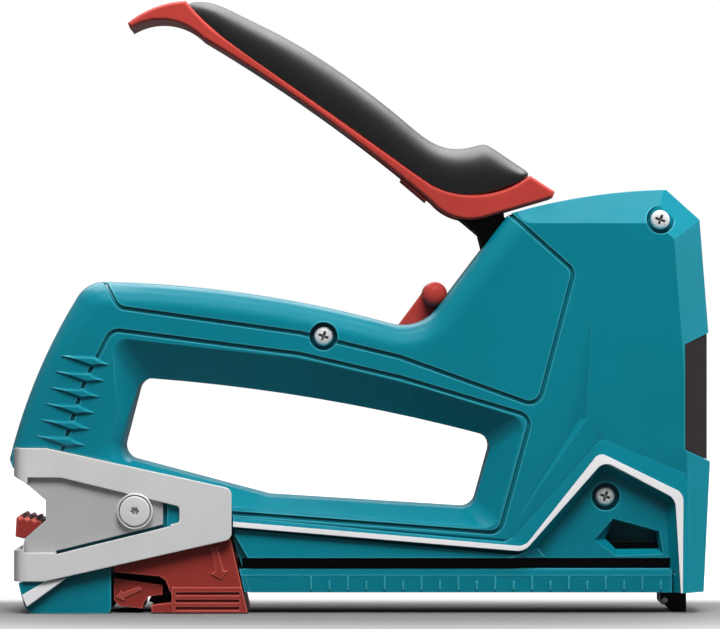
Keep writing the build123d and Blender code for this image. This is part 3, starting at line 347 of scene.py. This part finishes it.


# %% [markdown]
# ## Plastics, rubber and steels
#
# The housing, the lever and the magazine's end are moulded plastic with a fine spark-eroded grain. The
# grip is soft rubber with a broad dull gleam. The staple remover is blasted strip steel, with a painted
# shade on the panel that is pressed into its sides. The arm and the nose are blackened, the rail and the
# pins are ground, and the screws are zinc-plated. One function makes each kind, and takes what differs.


# %% Plastic and rubber
def moulded_plastic(name, colour, roughness, edge_radius=0.45 * mm, edge_colour=None):
    """Spark-eroded plastic: a fine even grain, a soft gloss, and with a highlight colour a painted
    highlight on edges and painted shade in hollows.
    """
    material, tree, shader = shade_tree(name, colour, roughness)
    tint(tree, shader, colour, drift=0.05, scale=45, edge_colour=edge_colour)
    gloss = spread(tree, noise(tree, 120), roughness - 0.05, roughness + 0.06)
    tree.links.new(gloss, shader.inputs["Roughness"])
    pits = noise(tree, 2600)
    grain(tree, shader, pits, strength=0.18, depth=0.06 * mm, edge_radius=edge_radius)
    shader.inputs["Specular IOR Level"].default_value = 0.35
    return material


def soft_rubber(name, colour):
    """Soft grip: near-black, with a broad dull gleam and a velvety grain."""
    material, tree, shader = shade_tree(name, colour, roughness=0.46)
    tint(tree, shader, colour, drift=0.12, scale=60)
    tree.links.new(spread(tree, noise(tree, 150), 0.42, 0.50), shader.inputs["Roughness"])
    nap = noise(tree, 3200)
    grain(tree, shader, nap, strength=0.12, depth=0.05 * mm, edge_radius=0.5 * mm)
    shader.inputs["Specular IOR Level"].default_value = 1.0
    return material


# %% Steels
def strip_steel(name, colour, roughness, stretch, edge_radius=0.35 * mm, metallic=1.0, **edges):
    """Rolled strip steel: fine lines along the strip, with a gloss that wanders."""
    material, tree, shader = shade_tree(name, colour, roughness, metallic)
    # With a highlight colour among these settings, tint paints a highlight on edges and shade in hollows.
    tint(tree, shader, colour, drift=0.04, scale=80, **edges)
    lines = noise(tree, 900, detail=4.0, stretch=stretch)
    gloss = spread(tree, lines, roughness - 0.06, roughness + 0.08)
    tree.links.new(gloss, shader.inputs["Roughness"])
    grain(tree, shader, lines, strength=0.10, depth=0.04 * mm, edge_radius=edge_radius)
    return material


def painted_shade_inside(material, share):
    """Paints shade on a finish: darkens it to a share of its colour where the strip is pressed towards the
    split plane.
    """
    outer_level, pressed_level = 17.6 * mm, 16.7 * mm
    tree = material.node_tree
    base = tree.nodes["Principled BSDF"].inputs["Base Color"]
    place = put(tree, "TexCoord")
    parts = put(tree, "SeparateXYZ")
    level = put(tree, "Math", operation="ABSOLUTE")
    pressed_shade = put(tree, "Mix", data_type="RGBA", blend_type="MULTIPLY")
    pressed_shade.inputs["B"].default_value = (share, share, share, 1)
    tree.links.new(place.outputs["Object"], parts.inputs["Vector"])
    tree.links.new(parts.outputs["Y"], level.inputs[0])
    pressed = stretched(tree, level.outputs["Value"], outer_level, pressed_level, 0, 1)
    tree.links.new(pressed, pressed_shade.inputs["Factor"])
    tree.links.new(base.links[0].from_socket, pressed_shade.inputs["A"])
    tree.links.new(pressed_shade.outputs["Result"], base)


# %% Finishes of this tool
def linear(red, green, blue):
    """A colour written as 0 to 255 display values, as the linear numbers that shaders use."""
    shares = (red / 255, green / 255, blue / 255)
    return tuple(((c + 0.055) / 1.055) ** 2.4 if c > 10 / 255 else c / 12.92 for c in shares)


across, upright, even = (0.06, 1, 1), (1, 1, 0.08), (1, 1, 1)
# Each highlight colour below is a painted highlight on outer edges, and each hollow share is a painted
# shade in hollows.
finish_of_slot = {
    "housing": moulded_plastic(
        "teal_moulding", linear(6, 122, 139), 0.34, edge_colour=linear(70, 178, 194)
    ),
    "lever_red": moulded_plastic(
        "lever_red", linear(180, 62, 55), 0.36, edge_radius=0.8 * mm, edge_colour=linear(214, 104, 94)
    ),
    "magazine_red": moulded_plastic(
        "magazine_red", linear(150, 54, 48), 0.40, edge_colour=linear(232, 118, 108)
    ),
    "trim": moulded_plastic("trim_light", linear(240, 240, 242), 0.40, edge_radius=0.2 * mm),
    "badge": moulded_plastic("badge_dark", linear(44, 40, 40), 0.30, edge_radius=0.2 * mm),
    "grip_black": soft_rubber("grip_black", linear(20, 20, 21)),
    "bumper_rubber": soft_rubber("bumper_black", linear(24, 24, 24)),
    "bright_steel": strip_steel(
        "blasted_steel", linear(238, 238, 239), 0.42, across, edge_radius=0.5 * mm, metallic=0.3,
        edge_colour=linear(252, 252, 252), hollow=0.6,
    ),
    "dark_steel": strip_steel("blackened_steel", linear(40, 39, 39), 0.34, upright),
    "plain_steel": strip_steel("ground_steel", linear(180, 180, 182), 0.30, upright),
    "screw_zinc": strip_steel(
        "bright_zinc", linear(248, 248, 249), 0.24, even, edge_radius=0.1 * mm, metallic=0.35,
        edge_colour=linear(253, 253, 253), hollow=0.02, reach=0.9 * mm,
    ),
}
# A painted shade darkens the pressed panel of the staple remover to 0.7 of its colour.
painted_shade_inside(finish_of_slot["bright_steel"], share=0.7)
print("finishes:", ", ".join(sorted(material.name for material in finish_of_slot.values())))

# %% [markdown]
# ## Finishing the solids
#
# A CAD solid arrives as loose triangles, which shade flat. A copy of it with its points merged can be
# shaded smooth across rounds and sharp across corners, so each solid that shows gets such a copy, and the
# copy stands for it. Solids that stay hidden inside keep their own mesh and only take a finish.


# %% Pieces and copies
def new_piece(name, bm, body, slot, smooth_angle=32):
    """Turns a bmesh into a piece on a body, smooth across rounds and even across flat faces."""
    mesh = bpy.data.meshes.new(name)
    bm.to_mesh(mesh)
    bm.free()
    carried = mesh.attributes.get("custom_normal")
    if carried:
        mesh.attributes.remove(carried)
    piece = bpy.data.objects.new(name, mesh)
    scene.collection.objects.link(piece)
    mesh.materials.append(finish_of_slot[slot])
    mesh.shade_smooth()
    mesh.set_sharp_from_angle(angle=radians(smooth_angle))
    even_faces = piece.modifiers.new("even_faces", "WEIGHTED_NORMAL")
    even_faces.keep_sharp = True
    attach(piece, body)
    return piece


def merged(node):
    """A copy of a solid with its loose points merged."""
    bm = bmesh.new()
    bm.from_mesh(nodes[node].data)
    bmesh.ops.remove_doubles(bm, verts=bm.verts, dist=1e-6)
    return bm


def finished(node, bm, smooth_angle=32):
    """A piece made from a copy of a solid, which stands for it."""
    piece = new_piece(node + "_finished", bm, body_of[node], slot_of[node], smooth_angle)
    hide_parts(node)
    return piece


# %% Finish the solids that show, and those that don't
shown = [
    "front_badge", "staple_remover", "lever_arm", "lever_shell", "lever_lock", "magazine_end", "pusher_cap",
    "pusher_rod", "nose", "magazine_rail", "magazine_channel", "staple_follower", "lever_pivot_pin",
]
worked_later = [
    "left_housing", "right_housing", "lever_grip", "trim_stripes", "housing_screws", "remover_screws",
    "drive_spring", "pusher_spring", "release_lever",
]
hidden = [node for node in nodes if node not in shown + worked_later]
for node in shown:
    finished(node, merged(node))
for node in hidden:
    nodes[node].data.materials.clear()
    nodes[node].data.materials.append(finish_of_slot[slot_of[node]])
print("copies:", len(shown), "plain:", len(hidden))

# %% [markdown]
# ## Sloping walls of the hand opening
#
# The opening for the fingers widens towards both sides like a funnel, so that nothing presses on them.
# Its walls could be modelled face by face into each half. It is simpler to cut them: a face as wide as the
# mouth is extruded to the narrower throat, its corners are rounded, and this tapered plug is taken out of a
# copy of the half.


# %% Cuts
def carved(bm, cutter):
    """The first shape with the second one cut out of it."""
    blocks = []
    for name, shape in (("blank", bm), ("punch", cutter)):
        mesh = bpy.data.meshes.new(name)
        shape.to_mesh(mesh)
        shape.free()
        blocks.append(bpy.data.objects.new(name, mesh))
        scene.collection.objects.link(blocks[-1])
    blank, punch = blocks
    cut = blank.modifiers.new("recess", "BOOLEAN")
    cut.operation = "DIFFERENCE"
    cut.use_self = True
    cut.object = punch
    result = bpy.data.meshes.new_from_object(blank.evaluated_get(bpy.context.evaluated_depsgraph_get()))
    for block in blocks:
        bpy.data.objects.remove(block)
    shape = bmesh.new()
    shape.from_mesh(result)
    return shape


def rounded(bm, edges, radius, segments):
    """Bevels edges to a round of so many millimetres."""
    bmesh.ops.bevel(
        bm, geom=edges, offset=radius * mm, affect="EDGES", segments=segments, profile=0.5, material=-1,
        clamp_overlap=True,
    )


# %% Plug of the hand opening
throat_level, rim_level, plug_level = 10.0, 17.0, 18.0
funnel_corner = 3.2
funnel_rim = [
    (-153.9, 75.0), (-103.5, 69.35), (-76.5, 63.1), (-41.9, 52.7), (-50.1, 23.1), (-113.0, 27.9),
    (-127.0, 29.0), (-153.0, 41.2),
]
funnel_throat = [
    (-146.6, 63.7), (-100.0, 58.2), (-75.2, 53.2), (-51.1, 47.5), (-56.6, 28.5), (-112.0, 32.0),
    (-126.0, 35.7), (-152.0, 42.6),
]


def funnel(side):
    """A tapered plug that cuts the sloping walls of the hand opening into one side of the housing."""
    plug = bmesh.new()
    taper = (rim_level - throat_level) / (plug_level - rim_level)
    mouth = [
        (x + (x - u) / taper, z + (z - w) / taper) for (x, z), (u, w) in zip(funnel_rim, funnel_throat)
    ]
    cap = plug.faces.new([plug.verts.new((x * mm, side * plug_level * mm, z * mm)) for x, z in mouth])
    rim = cap.verts[:]
    bmesh.ops.extrude_face_region(plug, geom=[cap], use_keep_orig=True)
    seams = []
    for point, (x, z) in zip(rim, funnel_throat):
        seam = next(edge for edge in point.link_edges if edge.other_vert(point) not in rim)
        seam.other_vert(point).co = (x * mm, side * throat_level * mm, z * mm)
        seams.append(seam)
    rounded(plug, seams, funnel_corner, segments=5)
    bmesh.ops.recalc_face_normals(plug, faces=plug.faces)
    return plug


# %% Cut and finish both halves
for node in ("left_housing", "right_housing"):
    low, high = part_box(node)
    side = 1 if low[1] + high[1] > 0 else -1
    piece = finished(node, carved(merged(node), funnel(side)), smooth_angle=19)
    print(node, len(piece.data.polygons), "faces")

# %% [markdown]
# ## Soft grip
#
# The black grip is a second, softer plastic that is moulded over the lever. It swells from a point on the
# bill to a full round back and ends in a slanting face above the toe. Here it is a row of rings, each laid
# across the lever between a low and a high point of the side view, bridged to a tube and subdivided. The
# foot of each ring dips into the red band, so the two plastics meet without a gap.

# %% Grip rings
grip_squareness = 0.7  # below one, a ring's flanks are steeper and its crown is flatter
grip_dip = 2.5  # how many millimetres a ring's foot lies in the band
grip_foot_width = 0.97


def grip_ring(bm, low, high, half):
    """A closed ring across the lever: steep flanks, a round crown, and a foot that dips into the band."""
    foot = Vector((low[0], 0, low[1])) * mm
    rise = Vector((high[0], 0, high[1])) * mm - foot
    up = rise.normalized()
    ring = bmesh.ops.create_circle(bm, segments=24, radius=1)["verts"]
    for point in ring:
        across, height = point.co.x, point.co.y
        swell = abs(across) ** grip_squareness * (1 if across > 0 else -1)
        if height >= 0:
            place = foot + rise * height ** grip_squareness
        else:
            place = foot + up * (grip_dip * mm * height)
            swell *= grip_foot_width
        point.co = place + Vector((0, swell * half * mm, 0))
    return ring


grip_rows = [
    ((-134.6, 166.0), (-133.4, 166.9), 8.5), ((-132.2, 163.8), (-130.0, 167.0), 11.2),
    ((-129.5, 160.9), (-125.6, 166.4), 12.4), ((-123.4, 155.5), (-117.5, 162.1), 13.0),
    ((-115.7, 150.3), (-109.4, 158.4), 13.1), ((-105.0, 143.3), (-98.7, 152.2), 13.1),
    ((-94.3, 136.0), (-87.6, 144.5), 13.1), ((-83.6, 128.4), (-77.3, 136.6), 13.1),
    ((-75.9, 122.7), (-70.6, 130.6), 13.1), ((-69.8, 118.3), (-66.0, 127.6), 13.1),
    ((-64.5, 115.2), (-61.4, 126.5), 13.1), ((-58.5, 114.0), (-56.8, 127.0), 13.1),
    ((-53.8, 114.6), (-53.4, 128.2), 13.1), ((-52.0, 115.0), (-51.8, 127.8), 13.1),
    ((-47.5, 116.4), (-46.8, 124.3), 13.0), ((-43.6, 117.7), (-42.8, 121.5), 12.9),
    ((-40.9, 118.7), (-40.3, 119.8), 12.6),
]

# %% Grip tube
grip = bmesh.new()
rings = [grip_ring(grip, *row) for row in grip_rows]
loops = [[edge for edge in grip.edges if set(edge.verts) <= set(ring)] for ring in rings]
for near, far in zip(loops, loops[1:]):
    bmesh.ops.bridge_loops(grip, edges=near + far)
for end in (rings[0], rings[-1]):
    bmesh.ops.contextual_create(grip, geom=end)
bmesh.ops.recalc_face_normals(grip, faces=grip.faces)
piece = new_piece("soft_grip", grip, body_of["lever_grip"], slot_of["lever_grip"], smooth_angle=80)
piece.modifiers.remove(piece.modifiers["even_faces"])
rounding = piece.modifiers.new("rounding", "SUBSURF")
rounding.levels = rounding.render_levels = 2
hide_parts("lever_grip")
print("grip:", len(piece.data.polygons), "faces before rounding")

# %% [markdown]
# ## Springs
#
# Both springs sit between a fixed end and a moving one, and get shorter as the tool works. A rigid copy
# would push through its neighbours; here each spring gets a finished copy with a mesh of its own.


# %% Springs that get shorter
def shrinking_spring(node, keep):
    """A finished copy of a spring, with a mesh of its own."""
    piece = finished(node, merged(node), smooth_angle=50)
    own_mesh(piece)
    print(node, "closes to", keep, "of its length")


low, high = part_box("drive_spring")
shrinking_spring("drive_spring", 0.39)
low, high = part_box("pusher_spring")
shrinking_spring("pusher_spring", 0.17)

# %% [markdown]
# ## Screws
#
# The housing is held by three pan-head screws with a cross recess, sunk in round wells. The two screws of
# the staple remover have wide flat heads inside a collar of the sheet, with a small star recess. A head is
# a body of revolution, so its profile is drawn once and spun. The recess is then cut with tapered bars, as
# a punch would press it.


# %% Turned shapes and punches
def turned(bm, profile, centre, steps=40):
    """A profile of (radius, y) points in millimetres, spun round an axis along Y through (x, z)."""
    line = [bm.verts.new(((centre[0] + r) * mm, y * mm, centre[1] * mm)) for r, y in profile]
    sides = [bm.edges.new(pair) for pair in zip(line, line[1:])]
    pivot = (centre[0] * mm, 0, centre[1] * mm)
    bmesh.ops.spin(
        bm, geom=line + sides, cent=pivot, axis=(0, 1, 0), angle=2 * pi, steps=steps, use_merge=True
    )
    bmesh.ops.remove_doubles(bm, verts=bm.verts, dist=1e-7)
    bmesh.ops.recalc_face_normals(bm, faces=bm.faces)


def punch_bar(bm, centre, top, depth, length, width, turn):
    """One tapered bar of a recess, with its wide end at a level of the -Y side."""
    taper = 0.55
    bar = bmesh.ops.create_cube(bm, size=1)["verts"]
    for point in bar:
        if point.co.y > 0:
            point.co.x *= taper
            point.co.z *= taper
    place = Matrix.Translation((centre[0] * mm, (top + depth / 2) * mm, centre[1] * mm))
    size = Matrix.Diagonal((length * mm, depth * mm, width * mm, 1))
    bmesh.ops.transform(bm, verts=bar, matrix=place @ Matrix.Rotation(turn, 4, "Y") @ size)


def gather(bm, part):
    """Adds a shape to another and lets go of it."""
    mesh = bpy.data.meshes.new("part")
    part.to_mesh(mesh)
    part.free()
    bm.from_mesh(mesh)


def on_both_sides(bm):
    """Mirrors a shape to the other side of the split plane, with its faces turned outwards."""
    bmesh.ops.mirror(bm, geom=bm.verts[:] + bm.edges[:] + bm.faces[:], matrix=Matrix(), axis="Y")
    bmesh.ops.recalc_face_normals(bm, faces=bm.faces)


# %% Housing screws
head_tops = {(-5.5, 106.9): -15.7, (-96.9, 75.3): -15.7, (-20.2, 31.7): -11.7}
pan_head = [
    (0, 0), (1.2, 0.05), (1.95, 0.22), (2.4, 0.55), (2.6, 1.0), (2.65, 1.6), (2.6, 2.25), (1.45, 2.35),
]
shank = [(1.45, 9.6), (1.1, 9.9), (0, 9.9)]
cross_turn = 0.35
screws = bmesh.new()
for place, top in head_tops.items():
    one = bmesh.new()
    turned(one, [(radius, top + depth) for radius, depth in pan_head] + shank, place)
    cross = bmesh.new()
    for turn in (cross_turn, cross_turn + pi / 2):
        punch_bar(cross, place, top - 0.3, depth=1.7, length=3.3, width=0.75, turn=turn)
    gather(screws, carved(one, cross))
piece = new_piece(
    "housing_screw_heads", screws, body_of["housing_screws"], slot_of["housing_screws"], smooth_angle=40
)
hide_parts("housing_screws")
print("housing screws:", len(piece.data.polygons), "faces")

# %% Staple remover screws
place = (-148.0, 27.9)
flat_head = [
    (0, -18.6), (3.7, -18.6), (4.0, -18.45), (4.15, -18.1), (4.15, -16.65), (1.9, -16.65), (1.9, -6.2),
    (0, -6.2),
]
collar = [
    (4.4, -16.5), (4.4, -18.15), (4.5, -18.3), (4.75, -18.3), (4.9, -18.15), (4.9, -16.5), (4.4, -16.5),
]
one = bmesh.new()
turned(one, flat_head, place, steps=48)
star = bmesh.new()
for turn in (0.0, pi / 3, 2 * pi / 3):
    punch_bar(star, place, -18.9, depth=1.3, length=2.7, width=0.8, turn=turn)
screws = carved(one, star)
on_both_sides(screws)
piece = new_piece(
    "remover_screw_heads", screws, body_of["remover_screws"], "bright_steel", smooth_angle=40
)
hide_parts("remover_screws")
collars = bmesh.new()
turned(collars, collar, place, steps=48)
on_both_sides(collars)
new_piece("screw_collars", collars, body_of["staple_remover"], "bright_steel", smooth_angle=50)
print("remover screws:", len(piece.data.polygons), "faces")

# %% [markdown]
# ## Edging of the lower panel
#
# A wide bevel rises round the lower panel, and a light strip lies on its crest. Both follow the same bent
# path with different cross-sections. The rails of a cross-section are drawn as edge chains, neighbours are
# bridged, and the corners are rounded together by bevelling the edges that run across the strip. The foot
# has a short wedge of the same light trim, which is an outline raised to a plate with a bevelled top.


# %% Strips and plates
def edging(bm, rails, corner):
    """A closed strip along a bent path: each rail is an outline and its level on the -Y side."""
    rows = [
        [bm.verts.new((x * mm, -level * mm, z * mm)) for x, z in outline] for outline, level in rails
    ]
    chains = [[bm.edges.new(pair) for pair in zip(row, row[1:])] for row in rows]
    for near, far in zip(chains, chains[1:] + chains[:1]):
        bmesh.ops.bridge_loops(bm, edges=near + far)
    for end in (0, -1):
        bmesh.ops.contextual_create(bm, geom=[row[end] for row in rows])
    bends = list(zip(*rows))[1:-1]
    crossing = [edge for edge in bm.edges if any(set(edge.verts) <= set(bend) for bend in bends)]
    rounded(bm, crossing, corner, segments=4)


sink = 0.1  # how many millimetres a raised plate reaches into what carries it


def raised_plate(bm, corners, level, height, edge):
    """A thin plate with corners (x, z) on a level of the -Y side, bevelled along its top."""
    base = bm.faces.new([bm.verts.new((x * mm, (sink - level) * mm, z * mm)) for x, z in corners])
    lifted = bmesh.ops.extrude_face_region(bm, geom=[base], use_keep_orig=True)["geom"]
    points = [part for part in lifted if isinstance(part, bmesh.types.BMVert)]
    rim = [part for part in lifted if isinstance(part, bmesh.types.BMEdge)]
    bmesh.ops.translate(bm, verts=points, vec=(0, -(height + sink) * mm, 0))
    rounded(bm, rim, edge, segments=2)


# %% Ridge and light trim
ridge_foot, ridge_crest, ridge_back = 16.9, 17.8, 15.2
trim_back, trim_face = 17.75, 18.0
bend_radius = 1.8
bevel_foot = [(-121.4, 26.4), (-46.0, 20.2), (-22.0, 48.0), (2.4, 38.0), (2.2, 5.7)]
crest_outer = [(-121.4, 25.1), (-42.4, 18.4), (-22.2, 43.9), (0.6, 32.8), (0.4, 5.7)]
crest_inner = [(-121.4, 23.7), (-42.5, 17.0), (-21.2, 41.2), (-1.7, 31.4), (-0.1, 5.7)]
foot_wedge = [(-178.7, 5.1), (-177.3, 1.9), (-166.6, 9.7), (-172.8, 8.6)]
ridge = bmesh.new()
edging(ridge, [
    (bevel_foot, ridge_foot), (crest_outer, ridge_crest), (crest_inner, ridge_crest),
    (crest_inner, ridge_back), (bevel_foot, ridge_back),
], bend_radius)
on_both_sides(ridge)
new_piece("panel_ridge", ridge, "housing", "housing", smooth_angle=25)
trim = bmesh.new()
edging(trim, [
    (crest_outer, trim_back), (crest_outer, trim_face), (crest_inner, trim_face), (crest_inner, trim_back),
], bend_radius)
raised_plate(trim, foot_wedge, level=14.8, height=2.35, edge=0.15)
on_both_sides(trim)
piece = new_piece("light_trim", trim, body_of["trim_stripes"], slot_of["trim_stripes"], smooth_angle=25)
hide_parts("trim_stripes")
print("edging:", len(piece.data.polygons), "faces of trim")

# %% [markdown]
# ## Lower panel and lip of the ruler
#
# Under the edging lies a flat panel whose upper border and front end slope away, and under that the ruler,
# with a lip along its top that reaches back to the magazine's end. Each is a face drawn with its own level
# at every corner and extruded to a flat back inside the housing, so a slope needs no cutting.


# %% Slabs
def slab(bm, face, back):
    """A closed block from an outer face of (x, level, z) corners to a flat back on the -Y side."""
    outer = bm.faces.new([bm.verts.new((x * mm, -level * mm, z * mm)) for x, level, z in face])
    for part in bmesh.ops.extrude_face_region(bm, geom=[outer], use_keep_orig=True)["geom"]:
        if isinstance(part, bmesh.types.BMVert):
            part.co.y = -back * mm


panel_back = 12.9
panel = bmesh.new()
slab(panel, [
    (-117.4, 16.4, 15.15), (-47.0, 16.4, 15.15), (-44.5, 16.4, 16.0), (-120.9, 15.6, 22.9),
    (-120.9, 16.2, 21.2),
], panel_back)
slab(panel, [
    (-47.05, 16.4, 15.15), (-36.5, 13.05, 15.15), (-38.5, 13.05, 17.8), (-44.55, 16.4, 16.0),
], panel_back)
slab(panel, [
    (-119.4, 14.55, 10.2), (-2.4, 14.55, 10.2), (-2.4, 14.55, 11.7), (-2.4, 14.2, 12.05),
    (-119.8, 14.2, 12.05), (-119.75, 14.55, 11.7),
], panel_back)
slab(panel, [
    (-118.4, 14.45, 5.8), (-116.5, 14.45, 5.8), (-117.8, 14.45, 10.25), (-119.4, 14.45, 10.25),
], panel_back)
on_both_sides(panel)
piece = new_piece("lower_panel", panel, "housing", "housing", smooth_angle=15)
print("lower panel and ruler lip:", len(piece.data.polygons), "faces")

# %% [markdown]
# ## Dark depths
#
# The long groove over the ruler and the throat between the magazine's end and its pusher are so deep and
# narrow that they look black. A dark paint in the teal and red would spoil their edges, so each gets a
# thin blackened liner that lies well inside it, a painted shade that stands for its depth.

# %% Liners
groove = [(-119.8, 12.3), (-2.8, 12.3), (-2.8, 14.9), (-120.4, 14.9)]
throat = [
    (-153.75, 11.5), (-153.75, 9.7), (-140.5, 7.8), (-140.5, 4.85), (-144.2, 4.2), (-144.9, 2.6),
    (-143.5, 2.2), (-138.0, 2.9), (-138.0, 5.2), (-139.6, 9.2), (-141.2, 10.3),
]
# Each liner is a dark sheet put where there is only shade: a painted shade for the depth.
shade_liners = [
    ("slot_painted_shade", "housing", groove, 11.4, 0.08, 0.03),
    ("throat_painted_shade", body_of["magazine_end"], throat, 2.0, 2.0, 0.1),
]
for name, body, outline, level, height, edge in shade_liners:
    liner = bmesh.new()
    raised_plate(liner, outline, level, height, edge)
    on_both_sides(liner)
    new_piece(name, liner, body, "dark_steel")
print("liners:", len(shade_liners))

# %% [markdown]
# ## Ruler and arrows
#
# Small marks are engraved in the mould and stand up on the plastic: a ridge every 5 millimetres along the
# foot of the housing, every second one longer, and the arrows that show which way the magazine's end and
# its pusher move. A bump could show them, but they would be lost from the side, so each is a raised plate.

# %% Ruler ridges
ruler_start, ruler_step, ruler_marks = -100.3, 5, 20
mark_foot, long_mark, short_mark = 6.3, 10.2, 8.9
mark_half = 0.25
ridges = bmesh.new()
for step in range(ruler_marks):
    left, right = (ruler_start + ruler_step * step + side for side in (-mark_half, mark_half))
    top = long_mark if step % 2 == 0 else short_mark
    corners = [(left, mark_foot), (right, mark_foot), (right, top), (left, top)]
    raised_plate(ridges, corners, level=14.5, height=0.35, edge=0.12)
on_both_sides(ridges)
piece = new_piece("ruler_ridges", ridges, "housing", "housing")
print("ruler ridges:", len(piece.data.polygons), "faces")

# %% Arrows
down_arrow = [
    (-127.5, 17.8), (-125.7, 18.3), (-124.0, 11.7), (-122.9, 11.7), (-124.7, 9.2), (-127.5, 10.7),
    (-126.3, 11.7),
]
pull_arrow = [
    (-146.9, 7.3), (-151.6, 5.6), (-151.9, 6.3), (-153.4, 4.3), (-151.1, 3.2), (-151.2, 4.1), (-146.3, 6.2),
]
arrows = [
    ("magazine_arrow", "magazine_end", down_arrow, 15.0, 0.4, 0.22),
    ("pusher_arrow", "pusher_cap", pull_arrow, 12.6, 0.35, 0.18),
]
for name, node, outline, level, height, edge in arrows:
    arrow = bmesh.new()
    raised_plate(arrow, outline, level, height, edge)
    on_both_sides(arrow)
    new_piece(name, arrow, body_of[node], slot_of[node])
print("arrows:", len(arrows))

# %% [markdown]
# ## Knob of the lock
#
# The lock is worked with a round cross knob that ends in a shallow dome on each side. A dome could be a
# scaled sphere, but a turned profile gives its soft shoulder as well.

# %% Knob domes
knob_centre = (-66.6, 86.7)
dome = [(0, -10.1), (1.2, -9.98), (2.3, -9.55), (3.0, -8.9), (3.4, -7.9), (3.3, -7.4), (0, -7.4)]
domes = bmesh.new()
turned(domes, dome, knob_centre)
on_both_sides(domes)
piece = new_piece(
    "lock_knob_domes", domes, body_of["lever_lock"], slot_of["lever_lock"], smooth_angle=50
)
print("knob domes:", len(piece.data.polygons), "faces")

# %% [markdown]
# ## Thumb tab
#
# The release lever ends in a wide tab with three ribs across its top, which fills the notch of the staple
# remover. The solid's own tab is narrow, so its top is cut away to make room, and a wide block with
# softened edges is set over it. The ribs are turned bars with round ends that sink into the block.

# %% Lever without its narrow top
room_half = 7
room_outline = [
    (-183.0, 19.0), (-180.2, 19.0), (-180.2, 25.6), (-171.9, 24.1), (-171.9, 29.0), (-183.0, 29.0),
]
room = bmesh.new()
slab(room, [(x, room_half, z) for x, z in room_outline], -room_half)
bmesh.ops.recalc_face_normals(room, faces=room.faces)
piece = finished("release_lever", carved(merged("release_lever"), room))
print("release lever:", len(piece.data.polygons), "faces")

# %% Wide tab and its ribs
tab_half = 13.4
tab_outline = [(-180.7, 20.85), (-178.25, 20.2), (-173.4, 24.0), (-173.4, 24.95), (-180.4, 26.2)]
rib_centres = [(-179.3, 25.95), (-177.4, 25.6), (-175.5, 25.25)]
rib = [(0, -13.2), (0.5, -13.1), (0.7, -12.8), (0.7, 12.8), (0.5, 13.1), (0, 13.2)]
tab = bmesh.new()
slab(tab, [(x, tab_half, z) for x, z in tab_outline], -tab_half)
bmesh.ops.recalc_face_normals(tab, faces=tab.faces)
rounded(tab, tab.edges[:], radius=0.3, segments=2)
for centre in rib_centres:
    turned(tab, rib, centre, steps=20)
piece = new_piece("thumb_tab", tab, body_of["release_lever"], slot_of["release_lever"], smooth_angle=50)
print("thumb tab:", len(piece.data.polygons), "faces")
